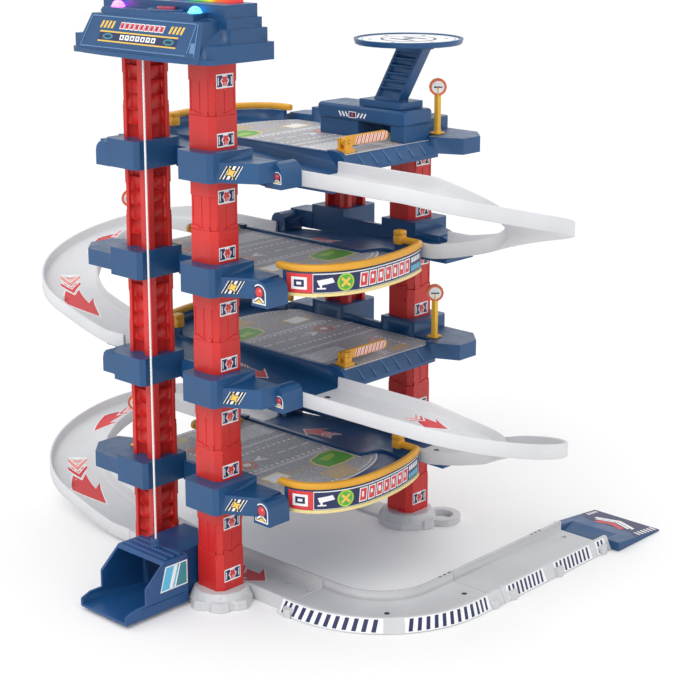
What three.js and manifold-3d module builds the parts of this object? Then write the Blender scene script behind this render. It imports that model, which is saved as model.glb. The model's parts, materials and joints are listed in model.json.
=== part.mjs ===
// Toy parking garage with a lift. Four blue decks stand on stacked red column segments.
// Loop ramps join the decks, the lowest one runs out onto a ground track, and a cage on a
// cord climbs the shaft between the two left columns to a winch in the roof.
// Lengths are in millimetres, +Z is up, the long side lies along X.
import * as THREE from 'three';
import { mergeVertices } from 'three/addons/utils/BufferGeometryUtils.js';
import Module from 'manifold-3d';

const wasm = await Module();
wasm.setup();

// Whole garage
const storey = 76;
const deckCount = 4;
const columnSpanX = 199;
const columnSpanY = 67;
const columnX = columnSpanX / 2;
const columnY = columnSpanY / 2;
const seat = 0.3;
const weld = 0.6;
const overrun = 2;
const smoothing = 0.001;

// Column segment: two closed faces, two open faces with a ladder of rungs
const columnWidth = 28;
const columnChamfer = 5;
const ridgeChamfer = 2.5;
const waistRecess = 1;
const lowerCuff = 36;
const upperCuff = 14;
const channelDepth = 6;
const channelStrip = 4.5;
const channelRidge = 8.5;
const rungPitch = 10;
const rungHeight = 2;
const rungInset = 1.2;
const rungStart = 22;
const rungCount = 5;
const boreWidth = 12;
const boreRoof = 3;
const spigotHeight = 10;

// Deck moulding, seen with its outlet at the front left
const webThickness = 3;
const collarTop = 15.5;
const collarDrop = 4;
const collarWallX = 7.5;
const collarWallY = 5.5;
const collarCorner = 3;
const floorTop = 4.5;
const floorThickness = 3;
const deckFrontRun = 21;
const deckFront = columnY + columnWidth / 2 + collarWallY + deckFrontRun;
const deckBackRun = 23;
const deckBack = columnY + columnWidth / 2 + collarWallY + deckBackRun;
const sillTop = 9.5;
const sillWidth = 3;
const deckInside = columnX - columnWidth / 2 - sillWidth;
const laneInlet = 5.5;
const laneOutlet = -6.5;
const laneLip = 7.5;
const laneBack = deckBack + laneLip;
const laneWidth = 64;
const laneStep = deckInside - laneWidth;
const stepTop = 6.5;
const nookDepth = 16;
const nookWidth = 19.5;
const nookSlant = 5;
const deckWall = 2.5;
const skirtDrop = 5;
const slopeRun = 8;
const slopeShort = 10.5;
const slopeEnd = deckInside - slopeShort;
const ribCount = 6;
const ribWidth = 1.8;
const ribProud = 0.9;
const cheekWidth = 4;
const cheekRadius = 12;
const bossWidth = 19;
const bossDepth = 15;
const bossDrop = 9;
const bossShoulder = 1;
const bossSteps = 6;
const padTop = 7.6;
const padProud = 25;
const padNose = deckFront + padProud;
const padOut = 13.5;
const padReach = columnX + padOut;
const padCorner = 8;
const shoulderInset = 14;
const tongueWidth = 30;
const tongueReach = 28;
const tongueThickness = 3;
const tongueRoot = 10;

// Loop ramp
const rampHalf = 22;
const rampWall = 2;
const rampWallHeight = 8;
const rampFloor = 2.5;
const rampStart = -6.5;
const rampLanding = 6;
const laneShift = 19;
const laneInX = deckInside - rampHalf + rampWall;
const laneOutX = laneInX - laneShift;
const turnReach = 79;
const turnCentre = deckBack + turnReach;
const levelShare = 0.28;
const runOutShare = 0.06;
const easeShare = 0.5;
const turnSteps = 12;
const landingSteps = 2;
const pegRadius = 2.1;
const pegHole = 2.6;
const pegOffset = 22;
const pegRise = 2.2;
const roundSides = 8;

// Bulge of the deck behind the parking floor, cut off beside the ramp
const bulgeEnd = 6;
const bulgeShort = 50;
const bulgeCentre = deckInside - bulgeEnd - bulgeShort;
const bulgeReach = 35;
const bulgeCut = laneInX - rampHalf - deckWall;
const bulgeCutShare = 0.80625;
const bulgeLong = (bulgeCut + bulgeCentre) / bulgeCutShare;
const bulgeTop = 11.5;
const bulgeSteps = 10;

// Yellow guard rail on the bulge
const railWidth = 5;
const railHeight = 5;
const railPostWidth = 8;
const railPostHeight = 10;
const railInset = 1.5;

// Ground track
const trackFloor = 3;
const kerbTop = 10;
const kerbWidth = 2.5;
const kerbSpread = 5;
const trackHalf = 19.5;
const trackRun = 4;
const trackJoin = deckFront + trackRun;
const trackCurveLead = 15;
const trackCurveStart = trackJoin + trackCurveLead;
const trackCurveRadius = 64;
const trackCurveRun = 28.5;
const trackCurveEnd = trackCurveRadius - laneInX + trackCurveRun;
const trackExitLength = 130;
const trackExitEnd = trackCurveEnd + trackExitLength;
const trackSlopeRun = 40;
const trackSteps = 10;
const holeSpacing = 20;
const holeInset = 14.5;
const holeRadius = 2;
const clipRadius = 4.5;
const clipHeight = 6;
const clipOffset = 10;
const flapLength = 56;
const flapEnd = trackExitEnd + flapLength;
const flapHalf = 30;
const flapTop = 7;
const flapLip = 1.2;
const flapOffset = 3;

// Feet under the columns
const footRadius = 23;
const footHeight = 11;
const footSkirt = 5;
const footTopRadius = 19;
const lobeRadius = 9;
const lobeHeight = 6.5;
const lobeReach = 17;
const lobeTaper = 1;
const footSides = 12;
const tieHeight = 1.8;
const tieWidth = 22;
const loopRadius = 15;
const loopHole = 9;
const loopHeight = 5;
const loopReach = 27;

// Barrier
const barrierInset = 10.9;
const barrierX = laneStep - barrierInset;
const barrierBack = 8;
const barrierY = deckFront - barrierBack;
const barrierBase = 10;
const barrierBaseHeight = 2.5;
const earThickness = 2;
const earHeight = 10;
const earWidth = 7;
const pivotHeight = 7.5;
const pivotRadius = 1.3;
const pivotHole = 1.7;
const armTipGap = 12.6;
const armHeight = 7;
const armThickness = 3;
const armTipSteps = 4;

// Road sign
const signInset = 15;
const signX = columnX - signInset;
const signBack = 3;
const signY = deckFront - signBack;
const signHeight = 34;
const signPost = 3.6;
const signRadius = 6.4;
const signThickness = 2.4;
const signFoot = 8;
const signFootHeight = 1.2;
const signPeg = 3.6;
const signPegDepth = 3;

// Helipad on the top deck
const bridgeGap = 6;
const bridgeRight = deckInside - bridgeGap;
const bridgeWidth = 31.5;
const bridgeLeft = bridgeRight - bridgeWidth;
const bridgeFront = deckFront;
const bridgeLength = 86;
const bridgeBack = bridgeLength - bridgeFront;
const bridgeUnder = 12;
const bridgeSlab = 11;
const bridgeBevel = 1.5;
const bridgeCorner = 3;
const bridgeCornerSteps = 2;
const bridgeLeg = 13;
const bridgeInset = 2;
const bridgeBackLeg = 38;
const mastOffset = 16;
const mastX = bridgeLeft + mastOffset;
const mastInset = 27;
const mastY = bridgeFront - mastInset;
const mastLean = 21;
const mastHeight = 46;
const mastWidth = 24;
const mastDepth = 10;
const mastWeb = 2.4;
const mastSteps = 5;
const mastStepHeight = 1.6;
const mastFootLength = 40;
const mastFootDepth = 24;
const mastFootHeight = 5;
const mastSocket = 6;
const mastHead = 26;
const mastHeadDepth = 14;
const mastHeadHeight = 3;
const discRadius = 39;
const discThickness = 4;
const discRim = 2.5;
const discRecess = 1;
const discSides = 28;
const discShift = 5;

// Roof: a bowed lip, a slanted front panel and four tiers. Its places along X, and those of the
// winch, the lens and the cage, are measured from the middle of the left columns.
const roofLipFront = 41.5;
const roofLipEnd = 31.5;
const roofLipHeight = 3;
const roofLipSteps = 8;
const roofWall = 2;
const panelFront = 37.5;
const panelBack = 26.5;
const panelRear = 0.5;
const panelHeight = 25.5;
const panelHalfLow = 62;
const panelHalfHigh = 55;
const tierOneTop = 11.5;
const tierOneHalf = 70;
const tierOneFront = 29.5;
const tierOneRear = 20.9;
const tierTwoTop = 20.5;
const tierTwoHalf = 66;
const tierTwoFront = 13.5;
const tierTwoRear = 19;
const tierThreeTop = 27;
const tierThreeHalf = 62.5;
const tierThreeFront = 13;
const tierThreeRear = 17.5;
const tierFourTop = 35.5;
const tierFourHalf = 60;
const tierFourFront = 12.5;
const tierFourRear = 16;
const stageTop = 30;
const stageFront = 26;
const stageHalf = 45;
const roofPlate = 3;
const cordHole = 3;

// Winch in the roof
const drumRadius = 5;
const drumFlange = 6.2;
const drumWidth = 15;
const drumFlangeWidth = 1.5;
const axleRadius = 1.5;
const axleReach = 5;
const axleHeight = 7.5;
const bearingWidth = 7;
const bearingThickness = 3;
const bearingHole = 1.8;
const motorFront = 4.5;
const motorWidth = 20;
const motorHeight = 12.5;
const motorGearLength = 16;
const motorCanLength = 18;
const motorCanRadius = 6;
const motorSocket = 2;
const tierRearFit = 0.9;
const cellBoxWidth = 17;
const cellBoxHeight = 15;
const cellLidHeight = 2;
const cellLidInset = 1;

// Call button and light strip on the roof
const buttonX = 17.5;
const buttonY = 10;
const buttonRadius = 5;
const buttonStretchShare = 1.5;
const buttonProud = 2.5;
const buttonFlange = 1.2;
const buttonFlangeHeight = 1.2;
const lensLeft = 2.5;
const lensRight = 13.5;
const lensFront = 50;
const lensBack = 9;
const lensProud = 4;
const lensSink = 1;
const lensGroove = 1;
const lensCount = 4;

// Lift cage
const cageFront = 78.5;
const cageRear = 13;
const cageLift = 2.3;
const cageFloor = 2;
const cageWall = 2;
const cageSlideFit = 0.5;
const cageHalf = columnY - columnWidth / 2 - cageSlideFit;
const cageFlare = 5.5;
const cageWide = cageHalf + cageFlare;
const cageShoulder = 22.5;
const cageHeight = 36;
const cageRoofFront = 43.5;
const cagePillarX = 60.5;
const cagePillarHeight = 21;
const cageLowWall = 9;
const cageNose = 70.5;
const cageNoseHeight = 6;
const cageRoofThickness = 2.5;
const cageRibWidth = 3;
const cageRibRise = 1;
const cageRibCount = 3;
const cageRunFit = 0.6;
const eyeRadius = 3.5;
const eyeHeight = 6;
const eyeHole = 1.2;
const eyeDepth = 4;

// Lift cord, from the eye on the cage up to the drum
const cordX = 30;
const cordRadius = 0.8;
const cordSides = 8;
const cordSteps = 4;

// Colours from the photograph
const blue = 0x2c5a8e;
const red = 0xd8363a;
const lightGrey = 0xdedfe3;
const yellow = 0xf0b93a;
const white = 0xf4f4f2;
const dark = 0x2b2f36;
const orange = 0xf08a2c;

// Turns a closed geometry into a solid that can be joined and cut.
function solid(geometry) {
  geometry.deleteAttribute('normal');
  geometry.deleteAttribute('uv');
  const merged = mergeVertices(geometry);
  return new wasm.Manifold(new wasm.Mesh({
    numProp: 3,
    vertProperties: new Float32Array(merged.attributes.position.array),
    triVerts: new Uint32Array(merged.index.array)
  }));
}

// A box between two corners.
function block(x0, x1, y0, y1, z0, z1) {
  const geometry = new THREE.BoxGeometry(x1 - x0, y1 - y0, z1 - z0);
  geometry.translate((x0 + x1) / 2, (y0 + y1) / 2, (z0 + z1) / 2);
  return solid(geometry);
}

function shapeOf(outline) {
  return new THREE.Shape(outline.map(([u, v]) => new THREE.Vector2(u, v)));
}

// An outline in X and Y, drawn up from z0 to z1.
function prism(outline, z0, z1) {
  const geometry = new THREE.ExtrudeGeometry(shapeOf(outline), { depth: z1 - z0, bevelEnabled: false });
  geometry.translate(0, 0, z0);
  return solid(geometry);
}

// An outline in Y and Z, drawn along X.
function prismX(outline, x0, x1) {
  const geometry = new THREE.ExtrudeGeometry(shapeOf(outline), { depth: x1 - x0, bevelEnabled: false });
  geometry.applyMatrix4(new THREE.Matrix4().makeBasis(
    new THREE.Vector3(0, 1, 0), new THREE.Vector3(0, 0, 1), new THREE.Vector3(1, 0, 0)));
  geometry.translate(x0, 0, 0);
  return solid(geometry);
}

// An outline in X and Z, drawn along Y.
function prismY(outline, y0, y1) {
  const geometry = new THREE.ExtrudeGeometry(shapeOf(outline), { depth: y1 - y0, bevelEnabled: false });
  geometry.applyMatrix4(new THREE.Matrix4().makeBasis(
    new THREE.Vector3(1, 0, 0), new THREE.Vector3(0, 0, 1), new THREE.Vector3(0, -1, 0)));
  geometry.translate(0, y1, 0);
  return solid(geometry);
}

// A round bar or tapered disc standing on z0.
function round(x, y, z0, z1, bottomRadius, topRadius, sides) {
  const geometry = new THREE.CylinderGeometry(topRadius, bottomRadius, z1 - z0, sides);
  geometry.rotateX(Math.PI / 2);
  geometry.translate(x, y, (z0 + z1) / 2);
  return solid(geometry);
}

// A round bar along Y.
function roundY(x, z, y0, y1, radius, sides) {
  const geometry = new THREE.CylinderGeometry(radius, radius, y1 - y0, sides);
  geometry.translate(x, (y0 + y1) / 2, z);
  return solid(geometry);
}

// Skins rings of points into a closed body; flat is one ring's outline, seen against the direction of travel.
function skin(rings, flat) {
  const count = flat.length;
  const indices = [];
  for (let ring = 0; ring < rings.length - 1; ring++) {
    for (let point = 0; point < count; point++) {
      const next = (point + 1) % count;
      const a = ring * count + point;
      const b = ring * count + next;
      indices.push(a, b, b + count, a, b + count, a + count);
    }
  }
  const faces = THREE.ShapeUtils.triangulateShape(flat.map(([u, v]) => new THREE.Vector2(u, v)), []);
  const last = (rings.length - 1) * count;
  for (const [a, b, c] of faces) {
    indices.push(c, b, a, last + a, last + b, last + c);
  }
  const geometry = new THREE.BufferGeometry();
  geometry.setAttribute('position', new THREE.Float32BufferAttribute(rings.flat(2), 3));
  geometry.setIndex(indices);
  return solid(geometry);
}

// Carries a section along stations. Each station has a place and a unit vector to its left.
function sweep(section, stations) {
  const rings = stations.map((station) => section.map(([across, up]) => [
    station.x + station.leftX * across,
    station.y + station.leftY * across,
    station.z + up
  ]));
  return skin(rings, section);
}

// Joins a lower outline to an upper one with the same number of points.
function loft(lower, upper, z0, z1) {
  return skin([lower.map(([x, y]) => [x, y, z0]), upper.map(([x, y]) => [x, y, z1])], lower);
}

// Points of an arc of an ellipse, from one angle to another.
function arc(cx, cy, rx, ry, from, to, steps) {
  const points = [];
  for (let step = 0; step <= steps; step++) {
    const angle = from + (to - from) * step / steps;
    points.push([cx + rx * Math.cos(angle), cy + ry * Math.sin(angle)]);
  }
  return points;
}

const garage = new THREE.Group();

// Adds a solid to the garage as a named piece, placed on the floor plan and turned about Z.
function addPiece(name, body, colour, roughness, place, turn) {
  const mesh3 = body.asOriginal().simplify(smoothing).getMesh();
  const geometry = new THREE.BufferGeometry();
  geometry.setAttribute('position', new THREE.Float32BufferAttribute(mesh3.vertProperties, 3));
  geometry.setIndex(new THREE.Uint32BufferAttribute(mesh3.triVerts, 1));
  geometry.computeVertexNormals();
  const material = new THREE.MeshStandardMaterial({ color: colour, roughness, metalness: 0,
    flatShading: true });
  const mesh = new THREE.Mesh(geometry, material);
  mesh.name = name;
  mesh.position.copy(place);
  mesh.rotation.z = turn;
  garage.add(mesh);
}

// The square section of a column, with the closed faces towards -X and -Y.
function columnSection(closedHalf) {
  const half = columnWidth / 2;
  const wallAt = half - channelDepth;
  const ridge = half - channelRidge;
  const strip = channelStrip - half;
  return [
    [columnChamfer - closedHalf, -closedHalf],
    [half, -closedHalf],
    [half, strip],
    [wallAt, strip],
    [wallAt, ridge],
    [half, ridge],
    [half, half - ridgeChamfer],
    [half - ridgeChamfer, half],
    [ridge, half],
    [ridge, wallAt],
    [strip, wallAt],
    [strip, half],
    [-closedHalf, half],
    [-closedHalf, columnChamfer - closedHalf]
  ];
}

function columnSegment() {
  const length = storey - webThickness - 2 * seat;
  const half = columnWidth / 2;
  const ridge = half - channelRidge;
  const strip = channelStrip - half;
  const wallAt = half - channelDepth;
  let body = prism(columnSection(half - waistRecess), 0, length);
  body = body.add(prism(columnSection(half), 0, lowerCuff));
  body = body.add(prism(columnSection(half), length - upperCuff, length));
  for (let rung = 0; rung < rungCount; rung++) {
    const low = rungStart + rung * rungPitch;
    const wedge = [
      [wallAt - weld, low],
      [half - rungInset, low + rungHeight / 2],
      [wallAt - weld, low + rungHeight]
    ];
    body = body.add(prismY(wedge, strip - weld, ridge + weld));
    body = body.add(prismX(wedge, strip - weld, ridge + weld));
  }
  const spigot = boreWidth / 2 - seat;
  body = body.add(block(-spigot, spigot, -spigot, spigot, length - weld, length + spigotHeight));
  const bore = boreWidth / 2;
  return body.subtract(block(-bore, bore, -bore, bore, -overrun, length - boreRoof));
}

const collarInner = columnWidth / 2;

// The outer block round one column; inwards is the side that faces the middle of the deck.
function collarBlock(sideX, sideY) {
  const outX = columnX + collarInner + collarWallX;
  const inX = deckInside;
  const outY = columnY + collarInner + collarWallY;
  const inY = columnY - collarInner;
  const outline = [
    [inX, inY],
    [outX - collarCorner, inY],
    [outX, inY + collarCorner],
    [outX, outY - collarCorner],
    [outX - collarCorner, outY],
    [inX, outY]
  ].map(([x, y]) => [sideX * x, sideY * y]);
  return prism(outline, -collarDrop, collarTop);
}

function collarCuts(sideX, sideY) {
  const x = sideX * columnX;
  const y = sideY * columnY;
  const socket = collarInner + seat;
  const web = webThickness / 2;
  const hole = boreWidth / 2;
  const above = block(x - socket, x + socket, y - socket, y + socket, web, collarTop + overrun);
  const below = block(x - socket, x + socket, y - socket, y + socket, -collarDrop - overrun, -web);
  const middle = block(x - hole, x + hole, y - hole, y + hole, -web - overrun, web + overrun);
  return above.add(below).add(middle);
}

// The rounded block beside a lane's mouth.
function boss(x, y) {
  const half = bossDepth / 2;
  const outline = [
    [y - half, -bossDrop],
    [y + half, -bossDrop],
    ...arc(y, bossShoulder, half, half, 0, Math.PI, bossSteps)
  ];
  return prismX(outline, x - bossWidth / 2, x + bossWidth / 2);
}

// Corner of the parking floor that widens over the lane beside the bulge, drawn in by an inset.
function nook(inset) {
  const left = inset - laneStep - nookWidth;
  const near = deckBack - nookDepth + inset;
  return [
    [left, deckBack],
    [left, near],
    [weld - laneStep, near - nookSlant],
    [weld - laneStep, deckBack]
  ];
}

// Half of the bulge's outline, from its short end round to where it is cut beside the ramp.
function bulgeArc(inset) {
  const cutAngle = Math.acos(-(bulgeCut + bulgeCentre - inset) / (bulgeLong - inset));
  const shortArc = arc(bulgeCentre, deckBack, bulgeShort - inset, bulgeReach - inset, 0, Math.PI / 2,
    bulgeSteps / 2);
  const longArc = arc(bulgeCentre, deckBack, bulgeLong - inset, bulgeReach - inset, Math.PI / 2,
    cutAngle, bulgeSteps / 2);
  return [...shortArc, ...longArc.slice(1)];
}

function deck() {
  const under = floorTop - floorThickness;
  const back = deckBack + weld;

  // parking floor
  let body = block(-laneStep, deckInside + weld, -deckFront, back, under, floorTop);

  // sunk lane that runs from the inlet at the back to the outlet at the front
  const lane = [
    [-deckFront, laneOutlet - floorThickness],
    [laneBack, laneInlet - floorThickness],
    [laneBack, laneInlet],
    [-deckFront, laneOutlet]
  ];
  body = body.add(prismX(lane, -deckInside - weld, -laneStep));
  const step = [
    [-deckFront, laneOutlet - floorThickness],
    [deckBack, under],
    [deckBack, stepTop],
    [-deckFront, stepTop]
  ];
  body = body.add(prismX(step, -laneStep - deckWall, -laneStep + weld));

  // corner where the parking floor widens over the lane
  body = body.add(prism(nook(0), -skirtDrop, stepTop));
  body = body.subtract(prism(nook(deckWall), -skirtDrop - overrun, under));
  body = body.subtract(prism(nook(deckWall), floorTop, stepTop + overrun));

  // bulge behind the parking floor
  const rim = [[-bulgeCut, deckBack - overrun], [bulgeCentre + bulgeShort, deckBack - overrun],
    ...bulgeArc(0)];
  body = body.add(prism(rim, -skirtDrop, bulgeTop));
  const inside = [
    [deckWall - bulgeCut, deckBack - 2 * overrun],
    [bulgeCentre + bulgeShort - deckWall, deckBack - 2 * overrun],
    ...bulgeArc(deckWall)
  ];
  body = body.subtract(prism(inside, floorTop, bulgeTop + overrun));
  body = body.subtract(prism(inside, -skirtDrop - overrun, under));
  body = body.add(block(-bulgeCut, deckInside, deckBack - overrun, deckBack, -skirtDrop, floorTop));

  // cheek with a rounded front at the end of the step
  const cheek = [
    [-deckFront + cheekRadius, laneOutlet - floorThickness],
    [-deckFront + cheekRadius, padTop],
    ...arc(-deckFront + cheekRadius / 2, padTop - cheekRadius, cheekRadius, cheekRadius,
      Math.PI / 2, Math.PI, roundSides / 2),
    [-deckFront - cheekRadius / 2, laneOutlet - floorThickness]
  ];
  body = body.add(prismX(cheek, -laneStep - deckWall, cheekWidth - laneStep - deckWall));

  // sills between the columns, at both ends
  const sill = columnY - collarInner + weld;
  body = body.add(block(-deckInside - sillWidth, -deckInside, -sill, sill, -skirtDrop, sillTop));
  body = body.add(block(deckInside - weld, deckInside + sillWidth, -sill, sill, -skirtDrop, sillTop));

  // ribbed slope along the front of the parking floor
  const slope = [
    [-deckFront, floorTop],
    [-deckFront - slopeRun, -collarDrop],
    [-deckFront - slopeRun, -collarDrop - deckWall],
    [-deckFront, under]
  ];
  body = body.add(prismX(slope, cheekWidth - laneStep - deckWall - weld, slopeEnd + weld));
  body = body.add(block(-laneStep, slopeEnd, -deckFront - weld, -deckFront + deckWall, -collarDrop,
    floorTop));
  const rib = [
    [-deckFront + weld, floorTop],
    [-deckFront - slopeRun, ribProud - collarDrop],
    [-deckFront - slopeRun, -collarDrop - weld],
    [-deckFront + weld, under]
  ];
  const ribSpan = slopeEnd - cheekWidth + laneStep + deckWall;
  for (let index = 1; index <= ribCount; index++) {
    const x = cheekWidth - laneStep - deckWall + ribSpan * index / (ribCount + 1);
    body = body.add(prismX(rib, x - ribWidth / 2, x + ribWidth / 2));
  }

  // pad with the nose at the front right, which carries the road sign
  const collarEdge = columnY + collarInner + collarWallY - weld;
  const pad = [
    [slopeEnd, weld - deckFront],
    [slopeEnd, -deckFront - slopeRun],
    [slopeEnd + padCorner, -padNose],
    [padReach - shoulderInset, -padNose],
    [padReach, -padNose + shoulderInset],
    [padReach, -collarEdge],
    [deckInside - weld, -collarEdge],
    [deckInside - weld, weld - deckFront]
  ];
  body = body.add(prism(pad, -collarDrop, padTop));

  // corner shoulders between the collars and the bosses
  const shoulder = [
    [deckInside - weld, collarEdge],
    [padReach, collarEdge],
    [padReach - shoulderInset, deckBack],
    [deckInside - weld, deckBack]
  ];
  body = body.add(prism(shoulder, -collarDrop, sillTop));
  body = body.add(prism(shoulder.map(([x, y]) => [-x, -y]), -collarDrop, sillTop));
  body = body.add(prism(shoulder.map(([x, y]) => [-x, y]), -collarDrop, sillTop));
  body = body.add(boss(deckInside + bossWidth / 2 - weld, deckBack + weld));
  body = body.add(boss(-laneOutX - rampHalf - bossWidth / 2 - seat, -deckFront));
  body = body.add(boss(-laneInX - rampHalf - bossWidth / 2 - seat, deckBack + weld));

  // collars with the sockets for the columns
  let cuts = collarCuts(1, 1);
  for (const [sx, sy] of [[1, 1], [1, -1], [-1, 1], [-1, -1]]) {
    body = body.add(collarBlock(sx, sy));
    cuts = cuts.add(collarCuts(sx, sy));
  }
  body = body.subtract(cuts);

  // tongues with a peg that carry the ramps' ends
  const outTop = rampStart - rampFloor - seat;
  const inTop = rampLanding - rampFloor - seat;
  const outPeg = deckFront + seat + pegOffset;
  const inPeg = laneBack + seat + pegOffset;
  body = body.add(block(-laneOutX - tongueWidth / 2, -laneOutX + tongueWidth / 2,
    -deckFront - tongueReach, -deckFront + tongueRoot, outTop - tongueThickness, outTop));
  body = body.add(block(-laneOutX - tongueWidth / 2, -laneOutX + tongueWidth / 2,
    -deckFront, -deckFront + tongueRoot, outTop - weld, laneOutlet - weld));
  body = body.add(round(-laneOutX, -outPeg, outTop - weld, outTop + pegRise, pegRadius, pegRadius,
    roundSides));
  body = body.add(block(-laneInX - tongueWidth / 2, -laneInX + tongueWidth / 2,
    laneBack - tongueRoot, laneBack + tongueReach, inTop - tongueThickness, inTop));
  body = body.add(round(-laneInX, inPeg, inTop - weld, inTop + pegRise, pegRadius, pegRadius, roundSides));

  // socket for the road sign and the seat of the barrier
  const peg = signPeg / 2 + seat;
  const pegDepth = signPegDepth + seat;
  return body.subtract(block(signX - peg, signX + peg, -signY - peg, -signY + peg, padTop - pegDepth,
    padTop + overrun));
}

// Stations of a loop ramp: out of the deck, round the turn and back to the deck below.
function rampStations() {
  const start = deckFront + seat;
  const landing = laneBack + seat;
  const radius = (laneInX + laneOutX) / 2;
  const centreX = (laneInX - laneOutX) / 2;
  const straight = turnCentre - start;
  const turn = Math.PI * radius;
  const runOut = turnCentre - landing;
  const total = straight + turn + runOut;
  const fall = storey + rampStart - rampLanding;
  const heightAt = (distance) => {
    const share = Math.min(Math.max((distance / total - levelShare) / (1 - levelShare - runOutShare),
      0), 1);
    const eased = share * share * (3 - 2 * share);
    return rampStart - fall * (easeShare * eased + (1 - easeShare) * share);
  };
  const stations = [{ x: -laneOutX, y: -start, z: heightAt(0), leftX: 1, leftY: 0 }];
  for (let step = 0; step <= turnSteps; step++) {
    const angle = Math.PI * step / turnSteps;
    stations.push({
      x: centreX - radius * Math.cos(angle),
      y: -turnCentre - radius * Math.sin(angle),
      z: heightAt(straight + radius * angle),
      leftX: Math.cos(angle),
      leftY: Math.sin(angle)
    });
  }
  for (let step = 1; step <= landingSteps; step++) {
    const distance = runOut * step / landingSteps;
    stations.push({
      x: laneInX,
      y: distance - turnCentre,
      z: heightAt(straight + turn + distance),
      leftX: -1,
      leftY: 0
    });
  }
  return stations;
}

function channelSection(half, wall, floor, height) {
  return [
    [-half, -floor],
    [half, -floor],
    [half, height],
    [half - wall, height],
    [half - wall, 0],
    [wall - half, 0],
    [wall - half, height],
    [-half, height]
  ];
}

function ramp() {
  let body = sweep(channelSection(rampHalf, rampWall, rampFloor, rampWallHeight), rampStations());
  const outHole = deckFront + seat + pegOffset;
  const inHole = laneBack + seat + pegOffset;
  const outZ = rampStart;
  const inZ = rampLanding - storey;
  body = body.subtract(round(-laneOutX, -outHole, outZ - rampFloor - overrun, outZ + overrun, pegHole,
    pegHole, roundSides));
  return body.subtract(round(laneInX, -inHole, inZ - rampFloor - overrun, inZ + overrun, pegHole,
    pegHole, roundSides));
}

// Guard rail that follows the rim of the bulge and ends in a post beside the lane.
function guardRail() {
  const low = bulgeTop + seat;
  const high = low + railHeight;
  const half = railWidth / 2;
  const bevel = half / 2;
  const section = [
    [-half, 0],
    [half, 0],
    [half, railHeight - bevel],
    [half - bevel, railHeight],
    [bevel - half, railHeight],
    [-half, railHeight - bevel]
  ];
  const path = bulgeArc(deckWall / 2);
  const stations = path.map(([x, y], index) => {
    const [x0, y0] = path[Math.max(index - 1, 0)];
    const [x1, y1] = path[Math.min(index + 1, path.length - 1)];
    const run = Math.hypot(x1 - x0, y1 - y0);
    return { x, y, z: low, leftX: (y0 - y1) / run, leftY: (x1 - x0) / run };
  });
  let body = sweep(section, stations);
  const [endX, endY] = path[path.length - 1];
  body = body.add(block(endX - half, endX + half, deckBack, endY + weld, low, high));
  body = body.add(block(endX - half, endX - half + railPostWidth, deckBack - railInset,
    deckBack - railInset + railPostWidth, low, low + railPostHeight));
  const [tailX] = path[0];
  return body.add(block(tailX - half, tailX + half, deckBack - railPostWidth, deckBack + weld, low, high));
}

// Track section with kerbs that slope out to the floor.
function trackSection(spread, floor) {
  const inner = trackHalf;
  const top = trackHalf + kerbWidth;
  const base = top + spread;
  return [
    [-base, 0],
    [base, 0],
    [top, kerbTop],
    [inner, kerbTop],
    [inner, floor],
    [-inner, floor],
    [-inner, kerbTop],
    [-top, kerbTop]
  ];
}

function clip(x, y) {
  return round(x, y, 0, clipHeight, clipRadius, clipRadius, roundSides);
}

function trackHole(x, y) {
  return round(x, y, -overrun, kerbTop, holeRadius, holeRadius, roundSides);
}

// Straight that takes the lowest ramp and passes beside the front left column.
function trackStraight() {
  const start = laneBack;
  const slope = [
    [start, rampLanding - rampFloor - seat],
    [start, rampLanding],
    [start - trackSlopeRun, trackFloor],
    [-trackJoin, trackFloor],
    [-trackJoin, 0],
    [start, 0]
  ];
  const inner = trackHalf + weld;
  let body = prismX(slope, -laneInX - inner, -laneInX + inner);
  const wall = [
    [-trackJoin, 0],
    [start, 0],
    [start, rampLanding + rampWallHeight],
    [start - trackSlopeRun, kerbTop],
    [-trackJoin, kerbTop]
  ];
  body = body.add(prismX(wall, -laneInX - rampHalf, -laneInX - trackHalf));
  body = body.add(prismX(wall, -laneInX + trackHalf, -laneInX + rampHalf));
  const tongueTop = rampLanding - rampFloor - seat;
  body = body.add(block(-laneInX - tongueWidth / 2, -laneInX + tongueWidth / 2,
    start - tongueRoot, start + tongueReach, 0, tongueTop));
  body = body.add(round(-laneInX, start + seat + pegOffset, tongueTop - weld, tongueTop + pegRise,
    pegRadius, pegRadius, roundSides));
  const spacing = holeSpacing / 2;
  for (const sx of [-1, 1]) {
    for (const sy of [-1, 1]) {
      body = body.subtract(trackHole(-laneInX + sx * spacing, holeInset - trackJoin + sy * spacing));
    }
  }
  return body;
}

function trackCurve() {
  const centreX = trackCurveRadius - laneInX;
  const stations = [{ x: -laneInX, y: -trackJoin - seat, z: 0, leftX: 1, leftY: 0 }];
  for (let step = 0; step <= trackSteps; step++) {
    const angle = Math.PI / 2 * step / trackSteps;
    stations.push({
      x: centreX - trackCurveRadius * Math.cos(angle),
      y: -trackCurveStart - trackCurveRadius * Math.sin(angle),
      z: 0,
      leftX: Math.cos(angle),
      leftY: Math.sin(angle)
    });
  }
  const exitY = -trackCurveStart - trackCurveRadius;
  stations.push({ x: trackCurveEnd, y: exitY, z: 0, leftX: 0, leftY: 1 });
  let body = sweep(trackSection(kerbSpread, trackFloor), stations);
  const edge = trackHalf + kerbWidth + kerbSpread / 2;
  body = body.add(clip(-laneInX - edge, -trackJoin - seat - clipOffset));
  return body.add(clip(trackCurveEnd - clipOffset, exitY - edge));
}

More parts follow.
